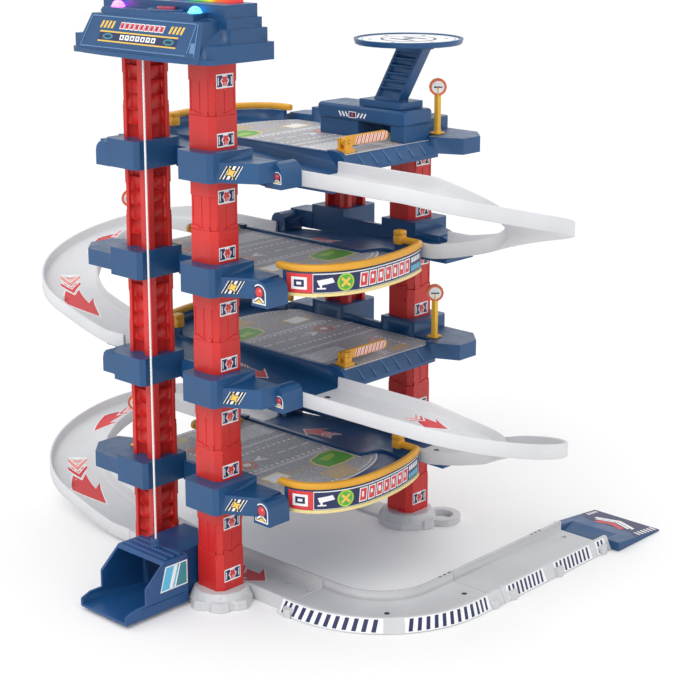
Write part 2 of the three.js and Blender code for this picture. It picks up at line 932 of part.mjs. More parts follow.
function trackExit() {
  const exitY = -trackCurveStart - trackCurveRadius;
  const stations = [
    { x: trackCurveEnd + seat, y: exitY, z: 0, leftX: 0, leftY: 1 },
    { x: trackExitEnd, y: exitY, z: 0, leftX: 0, leftY: 1 }
  ];
  let body = sweep(trackSection(kerbSpread, trackFloor), stations);
  const edge = trackHalf + kerbWidth + kerbSpread / 2;
  const middle = (trackCurveEnd + trackExitEnd) / 2;
  for (const x of [trackCurveEnd + seat + clipOffset, middle, trackExitEnd - clipOffset]) {
    body = body.add(clip(x, exitY - edge));
  }
  return body.subtract(trackHole(trackExitEnd - clipOffset, exitY + trackHalf / 2));
}

// Blue flap at the end of the track, a thin wedge with a raised edge on both sides.
function exitFlap() {
  const exitY = -trackCurveStart - trackCurveRadius - flapOffset;
  const start = trackExitEnd + seat;
  const wedge = [
    [start, 0],
    [flapEnd, 0],
    [flapEnd, flapLip],
    [start, flapTop]
  ];
  let body = prismY(wedge, exitY - flapHalf, exitY + flapHalf);
  const face = [
    [start - overrun, trackFloor],
    [start, trackFloor],
    [start + flapHalf, flapTop],
    [start - overrun, flapTop + overrun]
  ];
  return body.subtract(prismY(face, exitY + flapOffset - trackHalf, exitY + flapOffset + trackHalf));
}

// One rounded foot with lobes at the given turns; outX and outY point away from the garage's middle.
function foot(outX, outY, turns) {
  const x = outX * columnX;
  const y = outY * columnY;
  let body = round(x, y, 0, footSkirt, footRadius, footRadius, footSides);
  body = body.add(round(x, y, footSkirt - weld, footHeight, footRadius, footTopRadius, footSides));
  for (const turn of turns) {
    const lobeX = x + outX * lobeReach * Math.cos(turn);
    const lobeY = y + outY * lobeReach * Math.sin(turn);
    body = body.add(round(lobeX, lobeY, 0, lobeHeight, lobeRadius, lobeRadius - lobeTaper, roundSides));
  }
  return body;
}

// Pair of feet on a flat tie. The left pair is trimmed beside the track and under the cage.
function footPair(side) {
  const shaft = columnY - collarInner;
  let body = block(side * columnX - tieWidth / 2, side * columnX + tieWidth / 2, -columnY, columnY, 0,
    tieHeight);
  if (side > 0) {
    for (const end of [-1, 1]) {
      const loopX = columnX + loopReach * Math.cos(Math.PI / 4);
      const loopY = end * (columnY + loopReach * Math.sin(Math.PI / 4));
      body = body.add(round(loopX, loopY, 0, loopHeight, loopRadius, loopRadius, footSides));
      body = body.subtract(round(loopX, loopY, -overrun, footHeight, loopHole, loopHole, footSides));
    }
  }
  const turns = side > 0 ? [0, Math.PI / 2] : [0, Math.PI / 4, Math.PI / 2];
  body = body.add(foot(side, 1, turns)).add(foot(side, -1, turns));
  if (side < 0) {
    const reach = columnSpanY;
    body = body.subtract(block(collarInner - columnX - weld, 0, -reach, reach, -overrun,
      footHeight + overrun));
    const front = -columnX - cageFront;
    body = body.subtract(block(front, 0, -shaft, shaft, tieHeight, footHeight + overrun));
    body = body.subtract(block(front, cageRunFit - columnX - cageShoulder, -cageWide - cageRunFit,
      cageWide + cageRunFit,
      tieHeight, footHeight + overrun));
  }
  const socket = collarInner + seat;
  const plug = boreWidth / 2 - seat;
  const x = side * columnX;
  const low = webThickness / 2;
  for (const end of [-1, 1]) {
    const y = end * columnY;
    body = body.subtract(block(x - socket, x + socket, y - socket, y + socket, low, footHeight + overrun));
    body = body.add(block(x - plug, x + plug, y - plug, y + plug, 0, low + spigotHeight));
  }
  return body;
}

function barrierPost() {
  const half = barrierBase / 2;
  const gap = armThickness / 2 + seat;
  let body = block(-half, half, -half, half, 0, barrierBaseHeight);
  for (const side of [-1, 1]) {
    const near = side * gap;
    const far = side * (gap + earThickness);
    body = body.add(block(-earWidth / 2, earWidth / 2, Math.min(near, far), Math.max(near, far),
      barrierBaseHeight - weld, earHeight));
  }
  return body.subtract(roundY(0, pivotHeight, -half - overrun, half + overrun, pivotHole, roundSides));
}

// Arm with its pivot pin, as long as the way to the helipad's bridge allows. The pivot is its origin.
function barrierArm() {
  const half = armThickness / 2;
  const pin = half + seat + earThickness;
  const tip = armHeight / 2;
  const length = bridgeLeft + barrierX - armTipGap;
  const outline = [
    ...arc(length, 0, tip, tip, -Math.PI / 2, Math.PI / 2, armTipSteps),
    ...arc(0, 0, tip, tip, Math.PI / 2, 3 * Math.PI / 2, armTipSteps)
  ];
  const body = prismY(outline, -half, half);
  return body.add(roundY(0, 0, -pin, pin, pivotRadius, roundSides));
}

// Sign on a post, facing between -X and -Y. Its origin is the top of the pad it stands on.
function roadSign() {
  const half = signPost / 2;
  const sole = signFoot / 2;
  const peg = signPeg / 2;
  let body = block(-sole, sole, -sole, sole, seat, seat + signFootHeight);
  body = body.add(block(-peg, peg, -peg, peg, seat - signPegDepth, seat + weld));
  body = body.add(block(-half, half, -half, half, seat + signFootHeight - weld, signHeight));
  const disc = new THREE.CylinderGeometry(signRadius, signRadius, signThickness, footSides);
  disc.rotateZ(-Math.PI / 4);
  disc.translate(0, 0, signHeight);
  return body.add(solid(disc));
}

// Bridge that carries the helipad; it stands on the parking floor and has an arch below.
function helipadBridge() {
  const shape = new THREE.Shape();
  const x0 = bridgeLeft + bridgeBevel;
  const x1 = bridgeRight - bridgeBevel;
  const y0 = bridgeBevel - bridgeFront;
  const y1 = bridgeBack - bridgeBevel;
  shape.moveTo(x0 + bridgeCorner, y0);
  shape.lineTo(x1 - bridgeCorner, y0);
  shape.quadraticCurveTo(x1, y0, x1, y0 + bridgeCorner);
  shape.lineTo(x1, y1 - bridgeCorner);
  shape.quadraticCurveTo(x1, y1, x1 - bridgeCorner, y1);
  shape.lineTo(x0 + bridgeCorner, y1);
  shape.quadraticCurveTo(x0, y1, x0, y1 - bridgeCorner);
  shape.lineTo(x0, y0 + bridgeCorner);
  shape.quadraticCurveTo(x0, y0, x0 + bridgeCorner, y0);
  const geometry = new THREE.ExtrudeGeometry(shape, {
    depth: bridgeSlab - 2 * bridgeBevel,
    bevelEnabled: true,
    bevelThickness: bridgeBevel,
    bevelSize: bridgeBevel,
    bevelSegments: 1,
    curveSegments: bridgeCornerSteps
  });
  geometry.translate(0, 0, bridgeUnder + bridgeBevel);
  let body = solid(geometry);
  const left = bridgeLeft + bridgeInset;
  const right = bridgeRight - bridgeInset;
  const front = bridgeInset - bridgeFront;
  const back = bridgeBack - bridgeInset;
  const high = bridgeUnder + weld;
  body = body.add(block(left, right, front, front + bridgeLeg, seat, high));
  body = body.add(block(left, right, back - bridgeBackLeg, back, seat, high));
  const top = bridgeUnder + bridgeSlab;
  const socket = mastSocket / 2 + seat;
  return body.subtract(block(mastX - socket, mastX + socket, -mastY - socket, -mastY + socket,
    top - mastSocket - seat, top + overrun));
}

// Leaning mast with steps on its broad face. Its origin is the top of the bridge.
function helipadMast() {
  const footHigh = seat + mastFootHeight;
  const headLow = mastHeight - mastHeadHeight;
  const half = mastWidth / 2;
  const depth = mastDepth / 2;
  let body = block(-mastFootDepth / 2, mastFootDepth / 2, -mastFootLength / 2, mastFootLength / 2,
    seat, footHigh);
  const peg = mastSocket / 2;
  body = body.add(block(-peg, peg, -peg, peg, seat - mastSocket, seat + weld));
  const slant = (z) => -mastLean * (z - footHigh) / (headLow - footHigh);
  const shank = (inset, low, high) => [
    [slant(low) - half + inset, low],
    [slant(low) + half - inset, low],
    [slant(high) + half - inset, high],
    [slant(high) - half + inset, high]
  ];
  body = body.add(prismX(shank(0, footHigh - weld, headLow + weld), -depth, depth));
  body = body.subtract(prismX(shank(mastWeb, footHigh + mastWeb, headLow - mastWeb), -depth - overrun,
    mastWeb - depth));
  const pitch = (headLow - footHigh - 2 * mastWeb) / (mastSteps + 1);
  for (let step = 1; step <= mastSteps; step++) {
    const z = footHigh + mastWeb + step * pitch;
    body = body.add(prismX(shank(mastWeb - weld, z, z + mastStepHeight), -depth, mastWeb + weld - depth));
  }
  return body.add(block(-mastHeadDepth / 2, mastHeadDepth / 2, -mastLean - mastHead / 2,
    -mastLean + mastHead / 2,
    headLow, mastHeight));
}

function helipadDisc() {
  const body = round(0, 0, 0, discThickness, discRadius - discRim / 2, discRadius, discSides);
  const inner = discRadius - discRim;
  return body.subtract(round(0, 0, discThickness - discRecess, discThickness + overrun, inner, inner,
    discSides));
}

// Outline of the slanted front panel at a height, drawn in by an inset.
function panelOutline(share, inset) {
  const half = panelHalfLow + (panelHalfHigh - panelHalfLow) * share - inset;
  const front = panelFront + (panelBack - panelFront) * share - inset;
  return [[-front, -half], [inset - panelRear, -half], [inset - panelRear, half], [-front, half]];
}

// One tier of the roof, drawn in by an inset for its hollow.
function tier(front, rear, half, low, high, inset) {
  return block(inset - front, rear - inset, inset - half, half - inset, low, high - inset);
}

// Stepped roof with a slanted front, hollow below for the winch.
function roofShell() {
  const lip = [
    ...arc(-roofLipEnd, 0, roofLipFront - roofLipEnd, tierOneHalf, Math.PI / 2, 3 * Math.PI / 2,
      roofLipSteps),
    [-tierOneFront + overrun, -tierOneHalf],
    [-tierOneFront + overrun, tierOneHalf]
  ];
  let body = prism(lip, 0, roofLipHeight);
  body = body.add(loft(panelOutline(0, 0), panelOutline(1, 0), 0, panelHeight));
  body = body.add(tier(tierOneFront, tierOneRear, tierOneHalf, 0, tierOneTop, 0));
  body = body.add(tier(tierTwoFront, tierTwoRear, tierTwoHalf, 0, tierTwoTop, 0));
  body = body.add(tier(tierThreeFront, tierThreeRear, tierThreeHalf, 0, tierThreeTop, 0));
  body = body.add(tier(tierFourFront, tierFourRear, tierFourHalf, 0, tierFourTop, 0));
  body = body.add(tier(stageFront, tierFourRear, stageHalf, 0, stageTop, 0));
  let hollow = loft(panelOutline(0, roofWall), panelOutline(1, roofWall), 0, panelHeight);
  hollow = hollow.subtract(block(-roofLipFront, tierOneRear, -tierOneHalf, tierOneHalf,
    panelHeight - roofWall, tierFourTop));
  hollow = hollow.add(tier(tierOneFront, tierOneRear, tierOneHalf, 0, tierOneTop, roofWall));
  hollow = hollow.add(tier(tierTwoFront, tierTwoRear, tierTwoHalf, 0, tierTwoTop, roofWall));
  hollow = hollow.add(tier(tierThreeFront, tierThreeRear, tierThreeHalf, 0, tierThreeTop, roofWall));
  hollow = hollow.add(tier(tierFourFront, tierFourRear, tierFourHalf, 0, tierFourTop, roofWall));
  hollow = hollow.add(tier(stageFront, tierFourRear, stageHalf, 0, stageTop, roofWall));
  hollow = hollow.add(tier(tierOneFront, tierOneRear, tierOneHalf, -overrun, roofPlate, roofWall));
  hollow = hollow.add(block(roofWall - panelFront, -panelRear, roofWall - panelHalfHigh,
    panelHalfHigh - roofWall,
    -overrun, weld));
  body = body.subtract(hollow);
  body = body.subtract(buttonShape(seat, stageTop - roofWall - overrun, stageTop + overrun));
  return body.subtract(block(lensLeft - seat, lensRight + seat, -lensFront - seat, lensBack + seat,
    tierFourTop - lensSink - seat, tierFourTop + overrun));
}

// Oval outline of the call button.
function buttonShape(grow, z0, z1) {
  const outline = arc(-buttonX, -buttonY, buttonRadius + grow, buttonRadius * buttonStretchShare + grow,
    0, 2 * Math.PI, footSides);
  return prism(outline.slice(0, footSides), z0, z1);
}

function callButton() {
  const stop = stageTop - roofWall - seat;
  const body = buttonShape(0, stop - buttonFlangeHeight, stageTop + buttonProud);
  return body.add(buttonShape(buttonFlange, stop - buttonFlangeHeight, stop));
}

// Light strip with grooves between its colours.
function lightLens() {
  const low = tierFourTop - lensSink;
  const high = tierFourTop + lensProud;
  let body = block(lensLeft, lensRight, -lensFront, lensBack, low, high);
  const span = lensFront + lensBack;
  for (let index = 1; index < lensCount; index++) {
    const y = span * index / lensCount - lensFront;
    body = body.subtract(block(lensLeft - overrun, lensRight + overrun, y - lensGroove / 2,
      y + lensGroove / 2,
      high - lensGroove, high + overrun));
  }
  return body;
}

const drumX = drumRadius + cordRadius + seat - cordX;
const bearingNear = drumWidth / 2 + drumFlangeWidth + seat;
const bearingFar = bearingNear + bearingThickness;
const axleZ = roofPlate + axleHeight;

// Floor plate of the roof with the bearings of the winch.
function roofBase() {
  const inset = roofWall + seat;
  let body = block(inset - tierOneFront, tierOneRear - inset, inset - tierOneHalf, tierOneHalf - inset,
    0, roofPlate);
  body = body.add(block(inset - panelFront + overrun, tierOneRear - inset, inset - panelHalfHigh,
    panelHalfHigh - inset,
    0, roofPlate));
  const hole = boreWidth / 2;
  const high = axleZ + bearingWidth / 2;
  for (const end of [-1, 1]) {
    const y = end * columnY;
    body = body.subtract(block(-hole, hole, y - hole, y + hole, -overrun, roofPlate + overrun));
    const middle = end * (bearingNear + bearingFar) / 2;
    const low = middle - bearingThickness / 2;
    body = body.add(block(drumX - bearingWidth / 2, drumX + bearingWidth / 2, low, low + bearingThickness,
      roofPlate - weld, high));
    body = body.subtract(roundY(drumX, axleZ, low - overrun, low + bearingThickness + overrun,
      bearingHole, roundSides));
  }
  return body.subtract(round(-cordX, 0, -overrun, roofPlate + overrun, cordHole, cordHole, roundSides));
}

// Winch drum with its axle along Y. Its origin is the middle of the axle.
function winchDrum() {
  const half = drumWidth / 2;
  let body = roundY(0, 0, -half - weld, half + weld, drumRadius, footSides);
  body = body.add(roundY(0, 0, -half - drumFlangeWidth, -half, drumFlange, footSides));
  body = body.add(roundY(0, 0, half, half + drumFlangeWidth, drumFlange, footSides));
  return body.add(roundY(0, 0, -bearingFar - seat, bearingFar + axleReach, axleRadius, roundSides));
}

// Motor with its gear case; the socket takes the end of the axle.
function motorGearbox() {
  const near = bearingFar + seat;
  const low = roofPlate + seat;
  const left = drumX - motorFront;
  const gearEnd = near + motorGearLength;
  let body = block(left, left + motorWidth, near, gearEnd, low, low + motorHeight);
  body = body.add(roundY(left + motorWidth / 2, low + motorHeight / 2, gearEnd - weld,
    gearEnd + motorCanLength,
    motorCanRadius, footSides));
  return body.subtract(roundY(drumX, axleZ, near - overrun, bearingFar + axleReach + seat, motorSocket,
    roundSides));
}

// Battery box with a raised lid, between the tops of the columns.
function batteryBox() {
  const right = tierThreeRear - roofWall - tierRearFit;
  const left = right - cellBoxWidth;
  const half = columnY - boreWidth / 2 - tierRearFit;
  const low = roofPlate + seat;
  const body = block(left, right, -half, half, low, low + cellBoxHeight - cellLidHeight);
  return body.add(block(left + cellLidInset, right - cellLidInset, cellLidInset - half, half - cellLidInset,
    low, low + cellBoxHeight));
}

// Cage of the lift: wide in front of the columns, narrow between them.
function liftCage() {
  const profile = [
    [-cageFront, 0],
    [cageRear, 0],
    [cageRear, cageHeight],
    [-cageRoofFront, cageHeight],
    [-cagePillarX, cagePillarHeight],
    [-cagePillarX, cageLowWall],
    [-cageNose, cageLowWall],
    [-cageFront, cageNoseHeight]
  ];
  let body = prismY(profile, -cageWide, cageWide);
  const high = cageHeight + overrun;
  const past = cageRear + overrun;
  body = body.subtract(block(-cageShoulder, past, cageHalf, cageWide + overrun, -overrun, high));
  body = body.subtract(block(-cageShoulder, past, -cageWide - overrun, -cageHalf, -overrun, high));
  const under = cageHeight - cageRoofThickness;
  const narrow = cageHalf - cageWall;
  const wide = cageWide - cageWall;
  body = body.subtract(block(-cageShoulder - overrun, past, -narrow, narrow, cageFloor, under));
  body = body.subtract(block(-cageFront - overrun, -cageShoulder - cageWall, -wide, wide, cageFloor,
    under));
  for (let rib = 0; rib < cageRibCount; rib++) {
    const x = (2 * rib + 1) * cageRibWidth - cageRoofFront;
    body = body.add(block(x, x + cageRibWidth, -wide, wide, cageHeight - weld, cageHeight + cageRibRise));
  }
  body = body.add(round(-cordX, 0, cageHeight - weld, cageHeight + eyeHeight, eyeRadius, eyeRadius,
    roundSides));
  const eyeLow = cageHeight + eyeHeight - eyeDepth;
  return body.subtract(round(-cordX, 0, eyeLow, cageHeight + eyeHeight + overrun, eyeHole, eyeHole,
    roundSides));
}

// The cord rises from the eye on the cage to the side of the drum.
function liftCord() {
  const low = cageLift + cageHeight + eyeHeight - eyeDepth + seat;
  const high = roofLevel + axleZ;
  const route = new THREE.LineCurve3(new THREE.Vector3(0, 0, low), new THREE.Vector3(0, 0, high));
  const section = new THREE.Shape();
  section.absarc(0, 0, cordRadius, 0, 2 * Math.PI);
  const geometry = new THREE.ExtrudeGeometry(section, {
    steps: cordSteps,
    curveSegments: cordSides / 2,
    bevelEnabled: false,
    extrudePath: route
  });
  return solid(geometry);
}

const roofLevel = (deckCount + 1) * storey - webThickness / 2;
const corners = [
  { name: 'back_left', x: -columnX, y: columnY, turn: Math.PI, segments: deckCount + 1 },
  { name: 'front_left', x: -columnX, y: -columnY, turn: 0, segments: deckCount + 1 },
  { name: 'back_right', x: columnX, y: columnY, turn: Math.PI, segments: deckCount },
  { name: 'front_right', x: columnX, y: -columnY, turn: 0, segments: deckCount }
];

const segment = columnSegment();
for (const corner of corners) {
  for (let floor = 0; floor < corner.segments; floor++) {
    const z = floor * storey + webThickness / 2 + seat;
    const place = new THREE.Vector3(corner.x, corner.y, z);
    addPiece(`column_${corner.name}_${floor + 1}`, segment, red, 0.35, place, corner.turn);
  }
}

const deckBody = deck();
const rampBody = ramp();
const railBody = guardRail();
const postBody = barrierPost();
const armBody = barrierArm();
const signBody = roadSign();
for (let level = 1; level <= deckCount; level++) {
  const turn = level % 2 === 0 ? 0 : Math.PI;
  const side = Math.cos(turn);
  const z = level * storey;
  const middle = new THREE.Vector3(0, 0, z);
  addPiece(`deck_${level}`, deckBody, blue, 0.35, middle, turn);
  addPiece(`guard_rail_${level}`, railBody, yellow, 0.4, middle, turn);
  addPiece(`ramp_${level}`, rampBody, lightGrey, 0.4, middle, turn);
  const floorZ = z + floorTop + seat;
  const barrierPlace = new THREE.Vector3(-side * barrierX, -side * barrierY, floorZ);
  addPiece(`barrier_post_${level}`, postBody, yellow, 0.4, barrierPlace, turn);
  const pivot = new THREE.Vector3(-side * barrierX, -side * barrierY, floorZ + pivotHeight);
  addPiece(`barrier_arm_${level}`, armBody, yellow, 0.4, pivot, turn);
  const signPlace = new THREE.Vector3(side * signX, -side * signY, z + padTop);
  addPiece(`road_sign_${level}`, signBody, yellow, 0.4, signPlace, 0);
}

const ground = new THREE.Vector3(0, 0, 0);
addPiece('base_left', footPair(-1), lightGrey, 0.4, ground, 0);
addPiece('base_right', footPair(1), lightGrey, 0.4, ground, 0);
addPiece('track_straight', trackStraight(), lightGrey, 0.4, ground, 0);
addPiece('track_curve', trackCurve(), lightGrey, 0.4, ground, 0);
addPiece('track_exit', trackExit(), lightGrey, 0.4, ground, 0);
addPiece('exit_flap', exitFlap(), blue, 0.4, ground, 0);

const bridgeZ = deckCount * storey + floorTop;
addPiece('helipad_bridge', helipadBridge(), blue, 0.35, new THREE.Vector3(0, 0, bridgeZ), 0);
const mastZ = bridgeZ + bridgeUnder + bridgeSlab;
addPiece('helipad_mast', helipadMast(), blue, 0.35, new THREE.Vector3(mastX, -mastY, mastZ), 0);
const discPlace = new THREE.Vector3(mastX, discShift - mastY - mastLean, mastZ + mastHeight + seat);
addPiece('helipad_disc', helipadDisc(), blue, 0.35, discPlace, 0);

const roofPlace = new THREE.Vector3(-columnX, 0, roofLevel);
addPiece('roof_shell', roofShell(), blue, 0.35, roofPlace, 0);
addPiece('roof_base', roofBase(), blue, 0.45, roofPlace, 0);
addPiece('motor_gearbox', motorGearbox(), dark, 0.5, roofPlace, 0);
addPiece('battery_box', batteryBox(), dark, 0.5, roofPlace, 0);
addPiece('call_button', callButton(), red, 0.3, roofPlace, 0);
addPiece('light_lens', lightLens(), orange, 0.15, roofPlace, 0);
addPiece('winch_drum', winchDrum(), lightGrey, 0.4, new THREE.Vector3(drumX - columnX, 0,
  roofLevel + axleZ), 0);
addPiece('lift_cage', liftCage(), blue, 0.35, new THREE.Vector3(-columnX, 0, cageLift), 0);
addPiece('lift_cord', liftCord(), white, 0.8, new THREE.Vector3(-columnX - cordX, 0, 0), 0);

// Stands the garage on the floor with its middle over the origin.
const bounds = new THREE.Box3().setFromObject(garage);
const centre = bounds.getCenter(new THREE.Vector3());
for (const piece of garage.children) {
  piece.position.sub(new THREE.Vector3(centre.x, centre.y, bounds.min.z));
}

export default garage;
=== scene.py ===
import json
from math import acos, ceil, copysign, cos, hypot, pi, radians, sin

import bmesh
import bpy
from mathutils import Matrix, Vector

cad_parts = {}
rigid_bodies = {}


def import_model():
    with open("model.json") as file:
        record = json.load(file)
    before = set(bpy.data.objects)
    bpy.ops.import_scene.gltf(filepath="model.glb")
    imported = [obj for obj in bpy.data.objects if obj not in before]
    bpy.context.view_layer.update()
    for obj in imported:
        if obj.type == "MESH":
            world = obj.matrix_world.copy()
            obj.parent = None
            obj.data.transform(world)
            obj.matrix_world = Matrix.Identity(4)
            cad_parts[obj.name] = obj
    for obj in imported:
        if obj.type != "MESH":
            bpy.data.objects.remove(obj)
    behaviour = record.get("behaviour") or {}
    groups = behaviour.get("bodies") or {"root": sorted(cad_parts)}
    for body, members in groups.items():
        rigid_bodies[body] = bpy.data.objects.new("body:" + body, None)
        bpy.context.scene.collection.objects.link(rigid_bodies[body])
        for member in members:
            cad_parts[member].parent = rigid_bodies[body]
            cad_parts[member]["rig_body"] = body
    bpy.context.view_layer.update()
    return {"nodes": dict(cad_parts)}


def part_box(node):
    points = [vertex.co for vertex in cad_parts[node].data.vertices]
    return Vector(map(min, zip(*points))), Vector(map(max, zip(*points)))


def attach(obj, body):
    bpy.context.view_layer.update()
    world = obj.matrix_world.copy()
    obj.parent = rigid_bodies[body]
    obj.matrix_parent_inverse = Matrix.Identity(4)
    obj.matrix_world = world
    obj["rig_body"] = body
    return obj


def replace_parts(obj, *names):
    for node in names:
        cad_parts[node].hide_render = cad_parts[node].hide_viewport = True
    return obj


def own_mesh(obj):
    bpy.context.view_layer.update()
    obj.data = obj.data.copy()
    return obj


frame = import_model()
nodes = frame["nodes"]

# The frame is in metres; the sizes of this script are millimetres where nothing else is said
MM = 0.001
LEVELS = (1, 2, 3, 4)
SEGMENTS = {"front_left": 5, "front_right": 4, "back_left": 5, "back_right": 4}


def middle_of(node):
    """The middle of a CAD node's box, in millimetres."""
    return [(low + high) / 2 / MM for low, high in zip(*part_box(node))]


STOREY = (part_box("deck_2")[0].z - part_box("deck_1")[0].z) / MM
MIDDLE_X = (middle_of("column_front_left_1")[0] + middle_of("column_front_right_1")[0]) / 2

# The camera, fitted to the photograph, in metres
CAMERA_PLACE = (-0.8557, -0.8390, 0.4984)
CAMERA_TURN = radians(46.78)
CAMERA_TILT = radians(13.54)
CAMERA_LENS = 89.1
CAMERA_SENSOR = 36
CAMERA_SHIFT = -0.10
CAMERA_NEAR = 0.01
CAMERA_FAR = 100


def new_object(name, data):
    made = bpy.data.objects.new(name, data)
    bpy.context.scene.collection.objects.link(made)
    return made


def make_camera():
    data = bpy.data.cameras.new("camera")
    data.lens = CAMERA_LENS
    data.sensor_width = CAMERA_SENSOR
    data.shift_y = CAMERA_SHIFT
    data.clip_start = CAMERA_NEAR
    data.clip_end = CAMERA_FAR
    camera = new_object("camera", data)
    camera.location = CAMERA_PLACE
    camera.rotation_euler = (pi / 2 - CAMERA_TILT, 0, -CAMERA_TURN)
    bpy.context.scene.camera = camera


def level_matrix(level):
    """From a deck's own millimetres to the frame: odd decks are turned half round."""
    turn = pi if level % 2 else 0
    place = Matrix.Translation(Vector((MIDDLE_X, 0, level * STOREY)) * MM)
    return place @ Matrix.Rotation(turn, 4, "Z") @ Matrix.Scale(MM, 4)


# Materials: scales of the noise are per metre, heights of the bumps in metres

TONE_LOW = 0.3
TONE_HIGH = 0.7
FLOW_SCALE = 24
GLOSS_SCALE = 90
GLOSS_SPREAD = (-0.05, 0.09)
GRAIN_SCALE = 2600
FINE_BUMP = 0.0001


def linear(colour):
    """An sRGB colour from 0 to 255 as Blender's linear colour."""
    shares = [channel / 255 for channel in colour]
    return [s / 12.92 if s <= 0.04045 else ((s + 0.055) / 1.055) ** 2.4 for s in shares] + [1]


def shade(colour, share):
    """A lighter or darker tone of a colour."""
    return [min(255, channel * share) for channel in colour]


class Surface:
    """A Principled material whose node tree is built step by step."""

    def __init__(self, name, roughness):
        self.material = bpy.data.materials.new(name)
        self.material.use_nodes = True
        self.tree = self.material.node_tree
        self.shader = self.tree.nodes["Principled BSDF"]
        self.set("Roughness", roughness)
        self.coordinates = self.tree.nodes.new("ShaderNodeTexCoord").outputs["Object"]

    def set(self, socket, value):
        self.shader.inputs[socket].default_value = value

    def link(self, start, node, socket):
        self.tree.links.new(start, node.inputs[socket])

    def node(self, kind, **values):
        """A new node with some of its inputs set; an underscore stands for a space."""
        node = self.tree.nodes.new(kind)
        for socket, value in values.items():
            node.inputs[socket.replace("_", " ")].default_value = value
        return node

    def noise(self, scale, detail=2, roughness=0.5):
        node = self.node("ShaderNodeTexNoise", Scale=scale, Detail=detail, Roughness=roughness)
        self.link(self.coordinates, node, "Vector")
        return node.outputs["Fac"]

    def between(self, factor, low, high, low_at=TONE_LOW, high_at=TONE_HIGH):
        """A number that follows a factor from one value to another."""
        node = self.node("ShaderNodeMapRange", From_Min=low_at, From_Max=high_at, To_Min=low, To_Max=high)
        self.link(factor, node, "Value")
        return node.outputs["Result"]

    def ramp(self, factor, stops):
        """A colour that follows a factor through stops of place and sRGB colour."""
        node = self.node("ShaderNodeValToRGB")
        elements = node.color_ramp.elements
        while len(elements) < len(stops):
            elements.new(0.5)
        for element, (place, colour) in zip(elements, stops):
            element.position = place
            element.color = linear(colour)
        self.link(factor, node, "Fac")
        return node.outputs["Color"]

    def mottled(self, scale, detail, low, high):
        """A base colour that drifts between two tones."""
        self.colour(self.ramp(self.noise(scale, detail), [(TONE_LOW, low), (TONE_HIGH, high)]))

    def bump(self, scale, detail, strength, distance=FINE_BUMP):
        node = self.node("ShaderNodeBump", Strength=strength, Distance=distance)
        self.link(self.noise(scale, detail), node, "Height")
        self.link(node.outputs["Normal"], self.shader, "Normal")

    def colour(self, output):
        self.link(output, self.shader, "Base Color")

    def glow(self, output, strength):
        self.link(output, self.shader, "Emission Color")
        self.set("Emission Strength", strength)


def plastic(name, colour, roughness=0.34, mottle=0.05, grain=0.06):
    """Moulded plastic: faint flow marks in its colour, uneven gloss and a fine grain."""
    surface = Surface(name, roughness)
    surface.mottled(FLOW_SCALE, 3, shade(colour, 1 - mottle), shade(colour, 1 + mottle))
    low, high = (roughness + change for change in GLOSS_SPREAD)
    surface.link(surface.between(surface.noise(GLOSS_SCALE), low, high), surface.shader, "Roughness")
    surface.bump(GRAIN_SCALE, 2, grain)
    return surface.material


def ink(name, colour):
    """Printed film: a fine screen in the colour and a faint orange peel."""
    surface = Surface(name, 0.42)
    surface.mottled(700, 2, shade(colour, 0.96), shade(colour, 1.03))
    surface.bump(420, 1, 0.05)
    return surface.material


def asphalt(name, colour):
    """Printed asphalt: a coarse speckle of light and dark grains."""
    surface = Surface(name, 0.5)
    stops = [(0.34, shade(colour, 0.76)), (0.5, colour), (0.66, shade(colour, 1.22))]
    surface.colour(surface.ramp(surface.noise(950, 4, 0.75), stops))
    surface.bump(700, 2, 0.06)
    return surface.material


def cord_fibre():
    surface = Surface("cord_fibre", 0.7)
    surface.mottled(1500, 3, (226, 226, 228), (250, 250, 250))
    surface.bump(2400, 3, 0.4, 0.0002)
    return surface.material


LENS_BANDS = (
    (0.0, (232, 60, 60)), (0.24, (236, 120, 40)), (0.34, (245, 225, 60)), (0.5, (120, 214, 90)),
    (0.66, (70, 210, 120)), (0.78, (60, 130, 225)), (1.0, (235, 60, 70)),
)


def lens_plastic():
    """The tinted light strip, in bands of colour along its length."""
    surface = Surface("lens_plastic", 0.12)
    split = surface.node("ShaderNodeSeparateXYZ")
    surface.link(surface.coordinates, split, "Vector")
    low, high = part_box("light_lens")
    bands = surface.ramp(surface.between(split.outputs["Y"], 0, 1, low.y, high.y), LENS_BANDS)
    surface.colour(bands)
    surface.glow(bands, 0.35)
    surface.set("Transmission Weight", 0.25)
    surface.bump(160, 2, 0.1, 0.0004)
    return surface.material


blue_plastic = plastic("blue_plastic", (28, 77, 124))
cage_plastic = plastic("cage_plastic", (28, 76, 128))
red_plastic = plastic("red_plastic", (206, 40, 36), 0.3)
grey_plastic = plastic("grey_plastic", (208, 209, 212), 0.4, 0.02)
ramp_plastic = plastic("ramp_plastic", (217, 218, 221), 0.4, 0.02)
yellow_plastic = plastic("yellow_plastic", (246, 190, 62), 0.36)
amber_plastic = plastic("amber_plastic", (232, 168, 48), 0.36)
dark_plastic = plastic("dark_plastic", (44, 48, 56), 0.5, 0.08, 0.12)
button_plastic = plastic("button_plastic", (178, 58, 84), 0.22)

